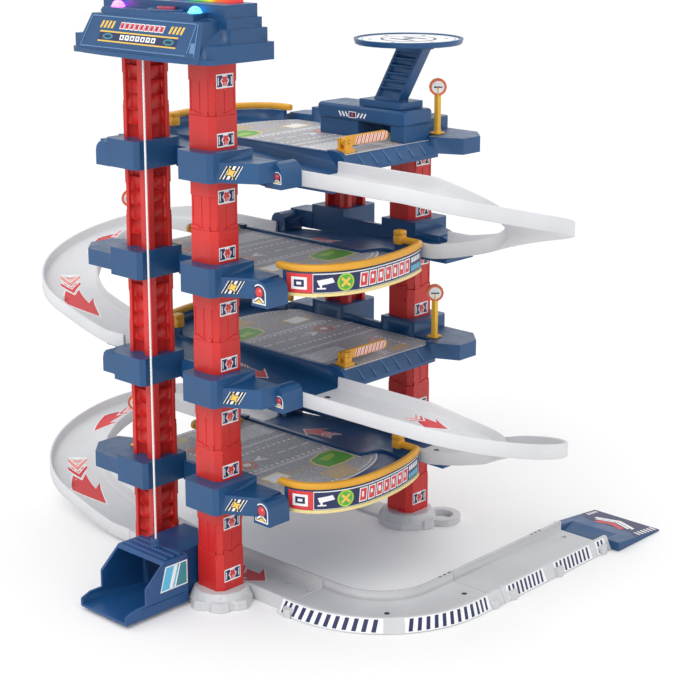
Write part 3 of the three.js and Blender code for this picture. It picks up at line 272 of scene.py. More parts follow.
# Material and width of the rounded edges of each CAD node, by the start of its name
LOOKS = {
    "column_": (red_plastic, 0.45),
    "deck_": (blue_plastic, 0.6),
    "barrier_post_": (amber_plastic, 0.3),
    "barrier_arm_": (amber_plastic, 0.5),
    "road_sign_": (yellow_plastic, 0.3),
    "base_": (grey_plastic, 1.0),
    "track_": (grey_plastic, 0.6),
    "exit_flap": (blue_plastic, 0.5),
    "helipad_": (blue_plastic, 0.5),
    "roof_shell": (blue_plastic, 0.8),
    "roof_base": (blue_plastic, 0.4),
    "motor_gearbox": (dark_plastic, 0.3),
    "battery_box": (dark_plastic, 0.5),
    "call_button": (button_plastic, 0.5),
    "light_lens": (lens_plastic(), 0.4),
    "winch_drum": (grey_plastic, 0.2),
    "lift_cage": (cage_plastic, 0.8),
}


# Points and outlines


def spread(start, end, steps):
    """Even values from one to another, with both ends."""
    return [start + (end - start) * step / steps for step in range(steps + 1)]


def arc(u, v, half_u, half_v, angles):
    """Points of an oval at some angles."""
    return [(u + half_u * cos(angle), v + half_v * sin(angle)) for angle in angles]


def oval(u, v, half_u, half_v, sides=28):
    return arc(u, v, half_u, half_v, spread(0, 2 * pi, sides)[:-1])


def rect(u0, u1, v0, v1, slant=0.0):
    """Four corners; a slant moves the upper two along u."""
    return [(u0, v0), (u1, v0), (u1 + slant, v1), (u0 + slant, v1)]


def bend(past, radius, reach, turn):
    """A point beside a path that turns about the origin between two straights, past the start of its turn."""
    angle = min(max(past / radius, 0), turn)
    run = past - angle * radius
    return run * sin(angle) - reach * cos(angle), -run * cos(angle) - reach * sin(angle)


# Mesh work: a weld's reach is in metres, angles are in radians

WELD = 2e-6
EDGE_ANGLE = radians(30)
EDGE_SHARE = 2.2
FLAT_ANGLE = 0.01
WIDE_EDGE = 0.9
COLUMN_SHARE = 0.8


def add_piece(name, shape, material, body="garage"):
    """A smooth piece from a finished shape, which is freed."""
    for face in shape.faces:
        face.smooth = True
    mesh = bpy.data.meshes.new(name)
    shape.to_mesh(mesh)
    shape.free()
    mesh.materials.append(material)
    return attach(new_object(name, mesh), body)


def mark_edges(shape, width):
    """Gives a bevel weight to the outward edges that are sharp, and long enough to be rounded."""
    layer = shape.edges.layers.float.new("bevel_weight_edge")
    for edge in shape.edges:
        if len(edge.link_faces) != 2 or not edge.is_convex:
            continue
        if edge.calc_face_angle() > EDGE_ANGLE and edge.calc_length() > EDGE_SHARE * width:
            edge[layer] = 1


def round_edges(piece, width, segments=2):
    bevel = piece.modifiers.new("edges", "BEVEL")
    bevel.width = width
    bevel.segments = segments
    bevel.limit_method = "WEIGHT"
    bevel.use_clamp_overlap = True
    weighted = piece.modifiers.new("normals", "WEIGHTED_NORMAL")
    weighted.keep_sharp = True
    weighted.weight = 90


def slimmed(name, points):
    """A column segment drawn in towards its axis, as the photograph's columns are slimmer than the solids."""
    mid_x, mid_y, _ = (part * MM for part in middle_of(name[:-1] + "1"))
    return [(mid_x + (x - mid_x) * COLUMN_SHARE, mid_y + (y - mid_y) * COLUMN_SHARE, z) for x, y, z in points]


def dress(name, material, width):
    """Puts a copy of a CAD node with clean faces and rounded edges in the node's place."""
    source = nodes[name].data
    corners = [vertex.co.copy() for vertex in source.vertices]
    if name.startswith("column_"):
        corners = slimmed(name, corners)
    bare = bpy.data.meshes.new(name + "_bare")
    bare.from_pydata(corners, [], [list(polygon.vertices) for polygon in source.polygons])
    shape = bmesh.new()
    shape.from_mesh(bare)
    bpy.data.meshes.remove(bare)
    bmesh.ops.remove_doubles(shape, verts=shape.verts, dist=WELD)
    bmesh.ops.dissolve_degenerate(shape, dist=WELD, edges=shape.edges)
    inner = [edge for edge in shape.edges if len(edge.link_faces) == 2]
    flat = [edge for edge in inner if edge.calc_face_angle() < FLAT_ANGLE]
    bmesh.ops.beautify_fill(shape, faces=shape.faces, edges=flat)
    mark_edges(shape, width * MM)
    piece = add_piece(name + "_dressed", shape, material, nodes[name]["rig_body"])
    round_edges(piece, width * MM, 3 if width > WIDE_EDGE else 2)
    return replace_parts(piece, name)


def dress_nodes():
    for name in nodes:
        for start, look in LOOKS.items():
            if name.startswith(start):
                dress(name, *look)


def skin_rings(rings, looped=False, shape=None):
    """A skin over rings with the same count of points, looped or closed at both ends."""
    if shape is None:
        shape = bmesh.new()
    rows = [[shape.verts.new(point) for point in ring] for ring in rings]
    following = rows[1:] + rows[:1] if looped else rows[1:]
    for row, after in zip(rows, following):
        for index in range(len(row)):
            shape.faces.new((row[index - 1], row[index], after[index], after[index - 1]))
    if not looped:
        shape.faces.new(reversed(rows[0]))
        shape.faces.new(rows[-1])
    bmesh.ops.recalc_face_normals(shape, faces=shape.faces)
    return shape


# Sleeves that close the collars and the feet round the slimmer columns

SOCKET_HALF = 14.35
SOCKET_OPEN = 14.1
COLLAR_TOP = 15.45
COLLAR_FOOT = -3.95
COLLAR_EDGE = 0.3
FOOT_TOP = 10.95
FOOT_LIP = 8.3
FOOT_LOW = 2
FOOT_CUT = 11.6
FOOT_EDGE = 0.2
# One corner of a foot's sleeve: its reach along X and Y, and its height
FOOT_PROFILE = (
    (SOCKET_HALF, FOOT_CUT, FOOT_TOP), (FOOT_CUT, SOCKET_HALF, FOOT_TOP),
    (SOCKET_HALF, SOCKET_HALF, FOOT_LIP), (SOCKET_HALF, SOCKET_HALF, FOOT_LOW),
)


def hull(name, points, material, width):
    shape = bmesh.new()
    for point in points:
        shape.verts.new(Vector(point) * MM)
    bmesh.ops.convex_hull(shape, input=shape.verts)
    mark_edges(shape, width * MM)
    round_edges(add_piece(name, shape, material), width * MM)


def make_sleeves():
    for corner in SEGMENTS:
        x, y, _ = middle_of(f"column_{corner}_1")
        outwards = -1 if corner.startswith("front") else 1
        sides = [y - outwards * SOCKET_OPEN, y + outwards * SOCKET_HALF]
        for level in LEVELS:
            heights = [level * STOREY + COLLAR_FOOT, level * STOREY + COLLAR_TOP]
            points = [(x + u, v, z) for u in (-SOCKET_HALF, SOCKET_HALF) for v in sides for z in heights]
            hull(f"sleeve_{corner}_{level}", points, blue_plastic, COLLAR_EDGE)
        points = [(x + u * across, y + v * along, z) for u in (-1, 1) for v in (-1, 1)
                  for across, along, z in FOOT_PROFILE]
        hull(f"sleeve_{corner}_foot", points, grey_plastic, FOOT_EDGE)


# Ramps, as the CAD ramps but with a finer sweep and rounded lips

RAMP_START = 74.3
RAMP_LANDING = 83.8
RAMP_TURN_AT = 155
RAMP_OUT_X = 43.5
RAMP_IN_X = 62.5
RAMP_HALF = 22
RAMP_WALL = 2
RAMP_WALL_HEIGHT = 8
RAMP_FLOOR = 2.5
RAMP_FILLET = 1.2
RAMP_EDGE = 0.6
RAMP_TOP_Z = -6.5
RAMP_LANDING_Z = 6
RAMP_LEVEL_SHARE = 0.28
RAMP_RUN_OUT_SHARE = 0.06
RAMP_STEP = 4
RAMP_SHARP = radians(50)
LIP_STEPS = 5


class RampLine:
    """The middle line of a loop ramp in its deck's millimetres, by distance from the deck."""

    def __init__(self):
        self.radius = (RAMP_IN_X + RAMP_OUT_X) / 2
        self.centre_x = (RAMP_IN_X - RAMP_OUT_X) / 2
        self.straight = RAMP_TURN_AT - RAMP_START
        self.total = self.straight + pi * self.radius + RAMP_TURN_AT - RAMP_LANDING
        self.fall = STOREY + RAMP_TOP_Z - RAMP_LANDING_Z

    def height(self, distance):
        share = (distance / self.total - RAMP_LEVEL_SHARE) / (1 - RAMP_LEVEL_SHARE - RAMP_RUN_OUT_SHARE)
        share = min(max(share, 0), 1)
        eased = share * share * (3 - 2 * share)
        return RAMP_TOP_Z - self.fall * (eased + share) / 2

    def place(self, distance, across, up):
        """A point beside the middle line; across is towards the left of the way down."""
        x, y = bend(distance - self.straight, self.radius, self.radius - across, pi)
        return Vector((self.centre_x + x, y - RAMP_TURN_AT, self.height(distance) + up))


def lip(start, end):
    """A round top between a wall's two faces."""
    reach = (end - start) / 2
    return arc(start + reach, RAMP_WALL_HEIGHT - reach, reach, reach, spread(pi, 0, LIP_STEPS))


def ramp_section():
    inside = RAMP_HALF - RAMP_WALL
    floor = [(-inside, RAMP_FILLET), (-inside + RAMP_FILLET / 3, RAMP_FILLET / 3), (-inside + RAMP_FILLET, 0)]
    floor += [(-across, up) for across, up in reversed(floor)]
    under = [(RAMP_HALF, RAMP_EDGE - RAMP_FLOOR), (RAMP_HALF - RAMP_EDGE, -RAMP_FLOOR)]
    under += [(-across, up) for across, up in reversed(under)]
    return lip(-RAMP_HALF, -inside) + floor + lip(inside, RAMP_HALF) + under


def make_ramps():
    line = RampLine()
    section = ramp_section()
    distances = spread(0, line.total, ceil(line.total / RAMP_STEP))
    for level in LEVELS:
        matrix = level_matrix(level)
        rings = [[matrix @ line.place(distance, *point) for point in section] for distance in distances]
        piece = add_piece(f"ramp_{level}_smooth", skin_rings(rings), ramp_plastic)
        piece.data.set_sharp_from_angle(angle=RAMP_SHARP)
        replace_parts(piece, f"ramp_{level}")


# The rim of each deck's bulge in the deck's own millimetres: two parts of ovals, cut off beside the lane

BULGE_CENTRE = (26.5, 76)
BULGE_SHORT = 50
BULGE_LONG = 80
BULGE_REACH = 35
BULGE_CUT_X = -38
SAME_PLACE = 0.01


def rim(inset, steps):
    """Points along the rim from its short end, drawn in by an inset."""
    centre_x, centre_y = BULGE_CENTRE
    short, long, depth = (reach - inset for reach in (BULGE_SHORT, BULGE_LONG, BULGE_REACH))
    cut = acos((BULGE_CUT_X + inset - centre_x) / long)
    points = []
    for start, end, reach in ((0, pi / 2, short), (pi / 2, cut, long)):
        for x, y in arc(centre_x, centre_y, reach, depth, spread(start, end, steps)):
            point = Vector((x, y, 0))
            if not points or (point - points[-1]).length > SAME_PLACE:
                points.append(point)
    return points


# Guard rails: a round tube along the rim of the bulge, with a post beside the lane

RAIL_INSET = 1.25
RAIL_STEPS = 12
RAIL_LOW = 11.8
RAIL_SIZE = 5
RAIL_SIDES = 20
RAIL_ROUNDNESS = 0.72
RAIL_TAIL_Y = 68.3
RAIL_HOOK = 8
RAIL_END_Y = 79
RAIL_ROUNDINGS = 2
RAIL_TIP_SHARES = {0: 0.72, 1: 0.93}
RAIL_SHARP = radians(40)
POST_PLACE = (-36, 78.5)
POST_HALF = 3.9
POST_HEIGHT = 9.7
POST_SIDES = 28
POST_ROUNDNESS = 0.45
# From the post's foot to its head: shares of its height and of its width
POST_SHARES = ((0.0, 0.94), (0.08, 1.0), (0.55, 1.0), (0.6, 0.93), (0.66, 0.93), (0.71, 1.0), (0.93, 1.0),
               (0.98, 0.9), (1.0, 0.76))


def soften(path, times):
    """Cuts the corners of an open path again and again, keeping its ends."""
    for _ in range(times):
        softer = [path[0]]
        for a, b in zip(path, path[1:]):
            softer += [a.lerp(b, 0.25), a.lerp(b, 0.75)]
        path = softer + [path[-1]]
    return path


def squarish(half, roundness, sides):
    """A square outline with round corners."""
    return [[half * copysign(abs(share) ** roundness, share) for share in point]
            for point in oval(0, 0, 1, 1, sides)]


def rail_path():
    points = rim(RAIL_INSET, RAIL_STEPS)
    start, end = points[0], points[-1]
    hook = [Vector((end.x, end.y - RAIL_HOOK, 0)), Vector((end.x, RAIL_END_Y, 0))]
    return soften([Vector((start.x, RAIL_TAIL_Y, 0))] + points + hook, RAIL_ROUNDINGS)


def rail_rings(matrix):
    path = rail_path()
    last = len(path) - 1
    section = squarish(RAIL_SIZE / 2, RAIL_ROUNDNESS, RAIL_SIDES)
    rings = []
    for index, point in enumerate(path):
        along = (path[min(index + 1, last)] - path[max(index - 1, 0)]).normalized()
        share = RAIL_TIP_SHARES.get(min(index, last - index), 1)
        rings.append([matrix @ (point + Vector((-along.y * u * share, along.x * u * share,
                                                RAIL_LOW + RAIL_SIZE / 2 + v * share))) for u, v in section])
    return rings


def post_rings(matrix):
    x, y = POST_PLACE
    return [[matrix @ Vector((x + u * width, y + v * width, RAIL_LOW + POST_HEIGHT * height))
             for u, v in squarish(POST_HALF, POST_ROUNDNESS, POST_SIDES)] for height, width in POST_SHARES]


def make_rails():
    for level in LEVELS:
        matrix = level_matrix(level)
        shape = skin_rings(post_rings(matrix), shape=skin_rings(rail_rings(matrix)))
        piece = add_piece(f"guard_rail_{level}_smooth", shape, amber_plastic)
        piece.data.set_sharp_from_angle(angle=RAIL_SHARP)
        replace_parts(piece, f"guard_rail_{level}")


# The lift cord: three strands laid together, in metres

CORD_STEP = 0.0012
CORD_PITCH = 0.006
CORD_SIDES = 18
CORD_STRANDS = 3
STRAND_SHARE = 0.14


def make_cord():
    low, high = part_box("lift_cord")
    middle = (low + high) / 2
    radius = (high.x - low.x) / 2
    length = high.z - low.z
    rings = []
    for rise in spread(0, length, round(length / CORD_STEP)):
        twist = 2 * pi * rise / CORD_PITCH
        ring = []
        for angle in spread(0, 2 * pi, CORD_SIDES)[:-1]:
            reach = radius * (1 - STRAND_SHARE + STRAND_SHARE * cos(CORD_STRANDS * (angle - twist)))
            ring += [(x, y, low.z + rise) for x, y in arc(middle.x, middle.y, reach, reach, [angle])]
        rings.append(ring)
    piece = add_piece("lift_cord_laid", skin_rings(rings), cord_fibre())
    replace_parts(piece, "lift_cord")
    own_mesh(piece)


# Printed film: thin closed plates on a flat or bent surface, in its own millimetres u and v.
# Each plate is an outline, an ink, a layer above the lowest and, for relief, a height of its own.

PLATE_RISE = 0.07
PLATE_LAYER = 0.05
PLATE_SUNK = 0.12
INK_COLOURS = {
    "white": (246, 246, 248), "red": (220, 62, 66), "orange": (232, 106, 66), "pink": (238, 150, 140),
    "navy": (32, 42, 88), "black": (26, 26, 32), "yellow": (240, 198, 84), "cream": (240, 220, 150),
    "green": (84, 176, 60), "lime": (166, 208, 70), "cyan": (92, 190, 226), "teal": (60, 140, 150),
    # edge and rib are lighter blues, painted highlights along raised edges and ribs
    "edge": (96, 136, 180), "rib_highlight": (76, 114, 158),
}

inks = {name: ink("ink_" + name, colour) for name, colour in INK_COLOURS.items()}
inks["asphalt"] = asphalt("ink_asphalt", (178, 178, 182))
inks["paving"] = asphalt("ink_paving", (216, 216, 218))
inks.update(relief_red=red_plastic, relief_blue=blue_plastic)
inks.update(relief_cage=cage_plastic, relief_dark=dark_plastic)


def star(u, v, outer, inner, points, turn=0.0):
    corners = []
    for index in range(2 * points):
        angle = turn + pi * index / points
        reach = inner if index % 2 else outer
        corners.append((u + reach * cos(angle), v + reach * sin(angle)))
    return corners


def stroke(start, end, width):
    """A straight line with a width, as a four-sided outline."""
    u0, v0 = start
    u1, v1 = end
    length = hypot(u1 - u0, v1 - v0)
    du = (v1 - v0) / length * width / 2
    dv = (u0 - u1) / length * width / 2
    return [(u0 + du, v0 + dv), (u1 + du, v1 + dv), (u1 - du, v1 - dv), (u0 - du, v0 - dv)]


def grown(outline, centre, share_u, share_v):
    """An outline scaled about a centre."""
    u0, v0 = centre
    return [(u0 + (u - u0) * share_u, v0 + (v - v0) * share_v) for u, v in outline]


def placed(plates, du=0, dv=0, size=1, flip=1):
    """The same plates scaled, mirrored where flip is -1, and moved."""
    return [([(du + flip * size * u, dv + size * v) for u, v in outline], *look) for outline, *look in plates]


def repeated(plates, count, du, dv=0):
    """The same plates again and again, each time a step further."""
    return [plate for index in range(count) for plate in placed(plates, du * index, dv * index)]


def plate_shape(outline, layer=0, height=0.0, sunk=PLATE_SUNK):
    """One closed plate; a layer stands a little higher than the ones below."""
    top = height or PLATE_RISE + PLATE_LAYER * layer
    shape = bmesh.new()
    upper = [shape.verts.new((u, v, top)) for u, v in outline]
    lower = [shape.verts.new((u, v, -sunk)) for u, v in outline]
    shape.faces.new(upper)
    shape.faces.new(reversed(lower))
    for index in range(len(upper)):
        shape.faces.new((upper[index - 1], lower[index - 1], lower[index], upper[index]))
    return shape


def cut(shape, outline, step):
    """Cuts a plate at even places, so that it can follow a curved surface."""
    bmesh.ops.triangulate(shape, faces=shape.faces)
    place = (min(u for u, v in outline) // step + 1) * step
    while place < max(u for u, v in outline) - SAME_PLACE:
        everything = shape.verts[:] + shape.edges[:] + shape.faces[:]
        bmesh.ops.bisect_plane(shape, geom=everything, plane_co=(place, 0, 0), plane_no=(1, 0, 0))
        place += step


def print_on(name, place, plates, body="garage", step=0.0, sunk=PLATE_SUNK):
    """Joins plates in one mesh on a surface, which rides on a body; a step cuts them for a bent surface."""
    points, faces, looks = [], [], []
    colours = list(dict.fromkeys(plate[1] for plate in plates))
    for outline, colour, *rise in plates:
        shape = plate_shape(outline, *rise, sunk=sunk)
        if step:
            cut(shape, outline, step)
        shape.verts.index_update()
        first = len(points)
        points += [place(*vertex.co) for vertex in shape.verts]
        faces += [[first + vertex.index for vertex in face.verts] for face in shape.faces]
        looks += [colours.index(colour)] * len(shape.faces)
        shape.free()
    mesh = bpy.data.meshes.new(name)
    mesh.from_pydata(points, [], faces)
    for colour in colours:
        mesh.materials.append(inks[colour])
    for polygon, look in zip(mesh.polygons, looks):
        polygon.material_index = look
    shape = bmesh.new()
    shape.from_mesh(mesh)
    bmesh.ops.recalc_face_normals(shape, faces=shape.faces)
    shape.to_mesh(mesh)
    shape.free()
    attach(new_object(name, mesh), body)


def facing(origin, along, up, level=None):
    """A flat surface as a function of u, v and the height above it; a level puts it on that deck."""
    origin, along, up = Vector(origin), Vector(along).normalized(), Vector(up).normalized()
    out = along.cross(up)
    matrix = level_matrix(level) if level else Matrix.Scale(MM, 4)
    return lambda u, v, w: matrix @ (origin + u * along + v * up + w * out)


# Floor print of each deck

DECK_FLOOR = 4.5
FIELD_LEFT = -17.3
FIELD_RIGHT = 80.6
FIELD_FRONT = -73.2
FIELD_BACK = 58.6
FIELD_TAIL = (-30.5, 62.9)
FIELD_CUT_X = -29.5
FIELD_CENTRE = (27, 52)
FIELD_REACH = (61, 31)
FIELD_STEPS = 24
FIELD_RIM = 1.4
LAWN = [(14.2, 38.5), (16.5, 47), (14.7, 56.8), (-1, 57.5), (-13.8, 55.3), (-15.2, 45), (-12.5, 34.4),
        (0, 33.6)]
LAWN_CENTRE = (-2, 46)
LAWN_RIM_SHARES = (1.1, 1.12)
STUD_REACH = (56.5, 26.5)
STUD_ANGLES = spread(radians(22), radians(149.6), 29)


def field(inset):
    """Outline of the printed floor, drawn in by an inset."""
    reach_x, reach_y = (reach - inset for reach in FIELD_REACH)
    right = FIELD_RIGHT - inset
    start, end = (acos((x - FIELD_CENTRE[0]) / reach_x) for x in (right, FIELD_CUT_X + inset))
    front = [(FIELD_LEFT + inset, FIELD_FRONT + inset), (right, FIELD_FRONT + inset)]
    tail = [(FIELD_TAIL[0] + inset, FIELD_TAIL[1]), (FIELD_LEFT + inset, FIELD_BACK + inset / 2)]
    return front + arc(*FIELD_CENTRE, reach_x, reach_y, spread(start, end, FIELD_STEPS)) + tail


def dashes(start, end, pitch, length, width):
    """A row of short white bars from one place to another."""
    run = hypot(end[0] - start[0], end[1] - start[1])
    du, dv = (end[0] - start[0]) / run, (end[1] - start[1]) / run
    bar = stroke(start, (start[0] + du * length, start[1] + dv * length), width)
    return repeated([(bar, "white", 3)], int(run / pitch) + 1, du * pitch, dv * pitch)


def ring(u, v, radius, width, inner, layer=3):
    return [(oval(u, v, radius, radius), "orange", layer),
            (oval(u, v, radius - width, radius - width), inner, layer + 1)]


DECK_ART = [
    (field(0), "white"),
    (field(FIELD_RIM), "asphalt", 1),
    (rect(-15.8, 24, -50, -27), "paving", 2),
    (rect(-15.8, 79, -19, -15.5), "paving", 2),
    (rect(-15.8, 70, 27.5, 31), "paving", 2),
    *dashes((-15, -6), (77, -6), 5.4, 2.8, 2.0),
    *dashes((-15, 25), (74, 25), 5.4, 2.8, 2.0),
    *dashes((-14, 9.5), (28, 9.5), 13, 8.5, 1.3),
    *dashes((60, 9.5), (78, 9.5), 13, 8.5, 1.3),
    *dashes((-14, -33), (-4, -33), 30, 9, 1.2),
    *repeated([(stroke((-14.5, -47.5), (-5, -46.3), 0.9), "white", 3)], 8, 0, 2.9),
    *repeated([(stroke((32, -67.5), (40, -66.3), 0.8), "white", 3)], 8, 0, 2.9),
    (rect(-1.2, 21, -52, -50.4), "navy", 3),
    (rect(-1.2, 0.2, -71, -52), "navy", 3),
    ([(43, 9), (33, 14.5), (33, 12), (36.5, 9), (33, 6), (33, 3.5)], "white", 3),
    (rect(28, 34, 8.3, 9.7), "white", 3),
    (grown(LAWN, LAWN_CENTRE, *LAWN_RIM_SHARES), "cream", 3),
    (LAWN, "green", 4),
    ([(-8, 38), (9, 41), (6, 48), (-6, 44)], "lime", 5),
    (rect(18, 76, 45.6, 46.4), "yellow", 3),
    ([(2, 61), (29, 61), (26, 79), (6, 79)], "yellow", 3),
    ([(3.2, 62), (27.7, 62), (25, 78), (6.9, 78)], "asphalt", 4),
    *repeated([(stroke((6, 62.8), (8.2, 77.2), 0.9), "yellow", 5)], 9, 2.2),
    ([(47, 37), (66, 38.5), (64.5, 52.5), (46, 51)], "cream", 3),
    ([(48.5, 38.3), (64.5, 39.7), (63.2, 51.2), (47.5, 49.8)], "white", 4),
    *ring(52.5, 12, 7.4, 1.4, "asphalt"),
    *ring(52.5, 12, 4.2, 1.1, "white", 5),
    *ring(57, -38, 6.6, 1.3, "asphalt"),
    (oval(57, -38, 2.4, 2.4), "orange", 5),
    *dashes((64, -60), (64, -30), 4.6, 2.4, 1.6),
    *repeated([(stroke((44, -66), (47, -58), 1.0), "yellow", 3)], 7, 2.6),
    *[(oval(u, v, 0.9, 0.9, 8), "white", 3) for u, v in arc(*FIELD_CENTRE, *STUD_REACH, STUD_ANGLES)],
]


def print_deck(level):
    print_on(f"deck_{level}_print", facing((0, 0, DECK_FLOOR), (1, 0, 0), (0, 1, 0), level), DECK_ART)


# Painted highlights: lines of lighter blue on the ribs of the slope along each deck's front

SLOPE_TOP = (-74, 4.5)
SLOPE_RISE = (8, 7.6)
SLOPE_START = -17.0
SLOPE_SPAN = 89.0
SLOPE_RIBS = 6
# A thin raised line of lighter blue on each rib, a painted highlight
RIB_HIGHLIGHT = (rect(-0.45, 0.65, -10.4, -0.6), "rib_highlight", 0, 0.12)


def print_slope(level):
    face = facing((0, *SLOPE_TOP), (1, 0, 0), (0, *SLOPE_RISE), level)
    pitch = SLOPE_SPAN / (SLOPE_RIBS + 1)
    print_on(f"deck_{level}_rib_highlights", face, placed(repeated([RIB_HIGHLIGHT], SLOPE_RIBS, pitch), SLOPE_START + pitch))


# Stickers and shallow relief on the columns

COLUMN_HALF = 14
RELIEF_INSET = 1
STICKER_SHIFT = 0.8
STICKER_LOW = 21.8
STICKER_HIGH = STOREY - 15.8
# A white frame, a navy field and a red badge
STICKER_ART = [
    (rect(-9.4, 9.4, -4.6, 4.6), "white"),
    (rect(-8.5, 8.5, -3.7, 3.7), "navy", 1),
    (star(0, 0, 4.9, 3.6, 6), "white", 2),
    (star(0, 0, 3.9, 2.5, 6), "red", 3),
    (rect(-3, 3, 1.6, 2.5), "red", 4),
    (rect(-0.8, 0.8, -3.4, -0.6), "pink", 4),
    (rect(-7.7, -6.7, -2.6, 2.6), "white", 2),
    (rect(6.7, 7.7, -2.6, 2.6), "white", 2),
]
RELIEF_FOOT = 37.9
RELIEF_HEAD = 60.1
RELIEF_RISE = 0.96
# Three upright bars over a foot with an arch, measured from the relief's foot
RELIEF_ART = [(rect(u0, u1, 0, RELIEF_HEAD - RELIEF_FOOT), "relief_red", 0, 0.4)
              for u0, u1 in ((-8.6, -6.9), (1.2, 5.8), (11.6, 12.8))]
RELIEF_ARCH = [(-8.6, 0), (13.4, 0), (13.4, 2.6), (6, 2.6), (2.6, 1.0), (-2.4, 1.0), (-5.4, 2.6), (-8.6, 2.6)]
RELIEF_ART.append((RELIEF_ARCH, "relief_red", 0, RELIEF_RISE))
# The plate under the upper sticker, measured from its head
POCKET_HEAD = STOREY - 13.2
POCKET_LINE = [(-8.9, 0), (-8.9, -7), (-6.9, -9), (9.6, -9), (11.6, -7), (11.6, 0)]
POCKET_ART = [(POCKET_LINE, "relief_red", 0, RELIEF_RISE)]


def slimmer(place):
    """The same surface on a slimmer column."""
    return lambda u, v, w: place(u * COLUMN_SHARE, v, w * COLUMN_SHARE)


def print_columns():
    stickers = [plate for v in (STICKER_LOW, STICKER_HIGH) for plate in placed(STICKER_ART, STICKER_SHIFT, v)]
    relief = placed(RELIEF_ART, 0, RELIEF_FOOT)
    full = COLUMN_HALF * COLUMN_SHARE
    inner = (COLUMN_HALF - RELIEF_INSET) * COLUMN_SHARE
    for corner, count in SEGMENTS.items():
        side = -1 if corner.startswith("front") else 1
        x, y, _ = middle_of(f"column_{corner}_1")
        to_y, to_x = (-side, 0, 0), (0, side, 0)
        for name, place, along, plates in (
                ("stickers", (x, y + side * full, 0), to_y, stickers),
                ("y_relief", (x, y + side * inner, 0), to_y, relief + placed(POCKET_ART, 0, POCKET_HEAD)),
                ("x_relief", (x + side * inner, y, 0), to_x, placed(relief, flip=-1))):
            face = slimmer(facing(place, along, (0, 0, 1)))
            print_on(f"column_{corner}_{name}", face, repeated(plates, count, 0, STOREY))


# Slanted warning stickers on the shoulders beside the collars of the front left column

SHOULDER_FOOT = (-113, -52.4)
SHOULDER_HEAD = (-99, -76)
WARNING_SPANS = ((1.15, 2.69), (3.68, 5.22), (7.2, 8.74), (9.62, 11.05))
WARNING_ART = [
    (rect(0.6, 11.6, -1.4, 7.4, 5.2), "white"),
    *[(rect(u0, u1, -1.4, 7.4, 5.2), "black", 1) for u0, u1 in WARNING_SPANS],
    (star(8.6, 3, 4.4, 2.2, 4, 0.4), "black", 2),
    (star(8.6, 3, 3.7, 1.6, 4, 0.4), "yellow", 3),
]


def print_collars():
    foot, head = (Vector((MIDDLE_X + x, y, 0)) for x, y in (SHOULDER_FOOT, SHOULDER_HEAD))
    face = facing(foot, head - foot, (0, 0, 1))
    for level in LEVELS:
        print_on(f"collar_{level}_sticker", face, placed(WARNING_ART, 0, level * STOREY))


# Arched stickers on the outer faces of the lanes' bosses

ARCH_HALF = 6.1
ARCH_RISE = 7.4
ARCH_STEPS = 12


def arch(inset):
    """Straight sides under a half circle, drawn in by an inset."""
    half = ARCH_HALF - inset
    return [(-half, inset), (half, inset)] + arc(0, ARCH_RISE, half, half, spread(0, pi, ARCH_STEPS))


BOSS_ART = [
    (arch(0), "white"),
    (arch(0.9), "navy", 1),
    (oval(0, 8, 3.4, 3.4), "red", 2),
    (oval(0.8, 9.2, 1.1, 0.9, 14), "pink", 3),
    ([(-4.4, 1.2), (0, 4.2), (4.4, 1.2), (4.4, 2.8), (0, 5.6), (-4.4, 2.8)], "white", 2),
    ([(-3.4, 1.0), (0, 3.4), (3.4, 1.0)], "yellow", 3),
]
# Place, height of the sticker's foot and size, on odd and on even levels
BOSS_ODD = (100.9, 76.6, -7, 1.0)
BOSS_EVEN = (-84.8, -77.9, -5.4, 0.6)


def print_boss(level):
    x, y, low, size = BOSS_ODD if level % 2 else BOSS_EVEN
    face = facing((x, y, 0), (0, -1 if x < 0 else 1, 0), (0, 0, 1), level)
    print_on(f"boss_{level}_{'in' if x < 0 else 'out'}_sticker", face, placed(BOSS_ART, 0, low, size))


# Band on the bulge

BULGE_STEPS = 40
BULGE_SUNK = 0.8
BAND_STEP = 1.5
BAND_MARGIN = 0.3
# A red sign, a plate on a pole, a round sign, windows, and blocks where the real set has its lettering
BAND_ART = [
    (rect(1.6, 131, -2.4, 10.8), "white"),
    (rect(20.6, 130.4, -2, 10.1), "navy", 1),
    (rect(1.6, 20.2, -2.4, 10.8), "red", 1),
    (rect(5.4, 16.4, 0, 8.4), "white", 2),
    (rect(7.4, 14.4, 1.8, 6.6), "navy", 3),
    (rect(9.2, 12.6, 3.2, 5.2), "white", 4),
    ([(23, 6.2), (33.5, 7.8), (35, 4.6), (24.5, 2.6)], "white", 2),
    (rect(23, 29, 0.2, 1.2), "white", 2),
    (rect(25, 26.4, 0.2, 3.4), "white", 2),
    (oval(43, 4.2, 6.2, 6.1), "lime", 2),
    (oval(43, 4.2, 4.9, 4.9), "green", 3),
    (stroke((40, 1.4), (46, 7), 1.8), "yellow", 4),
    (stroke((40, 7), (46, 1.4), 1.8), "yellow", 5),
    *repeated([(rect(53.5, 60.5, -0.8, 9.2, 0.9), "white", 2)], 7, 8),
    *repeated([(rect(54.3, 59.7, 0, 8.4, 0.9), "red", 3)], 7, 8),
    *[(rect(56.1 + 8 * index, 57.7 + 8 * index + 0.5 * (index % 3), 2.6 + index % 2, 6.4), "white", 4)
      for index in range(7)],
    *repeated([(rect(111.5, 113.9, 5.2, 8.8), "white", 2)], 5, 3.4),
    *repeated([(rect(111.5, 113.9, -0.8, 3), "cyan", 2)], 5, 3.4),
    (rect(1.6, 131, -4.7, -2.6), "cream", 0, 0.9),
]


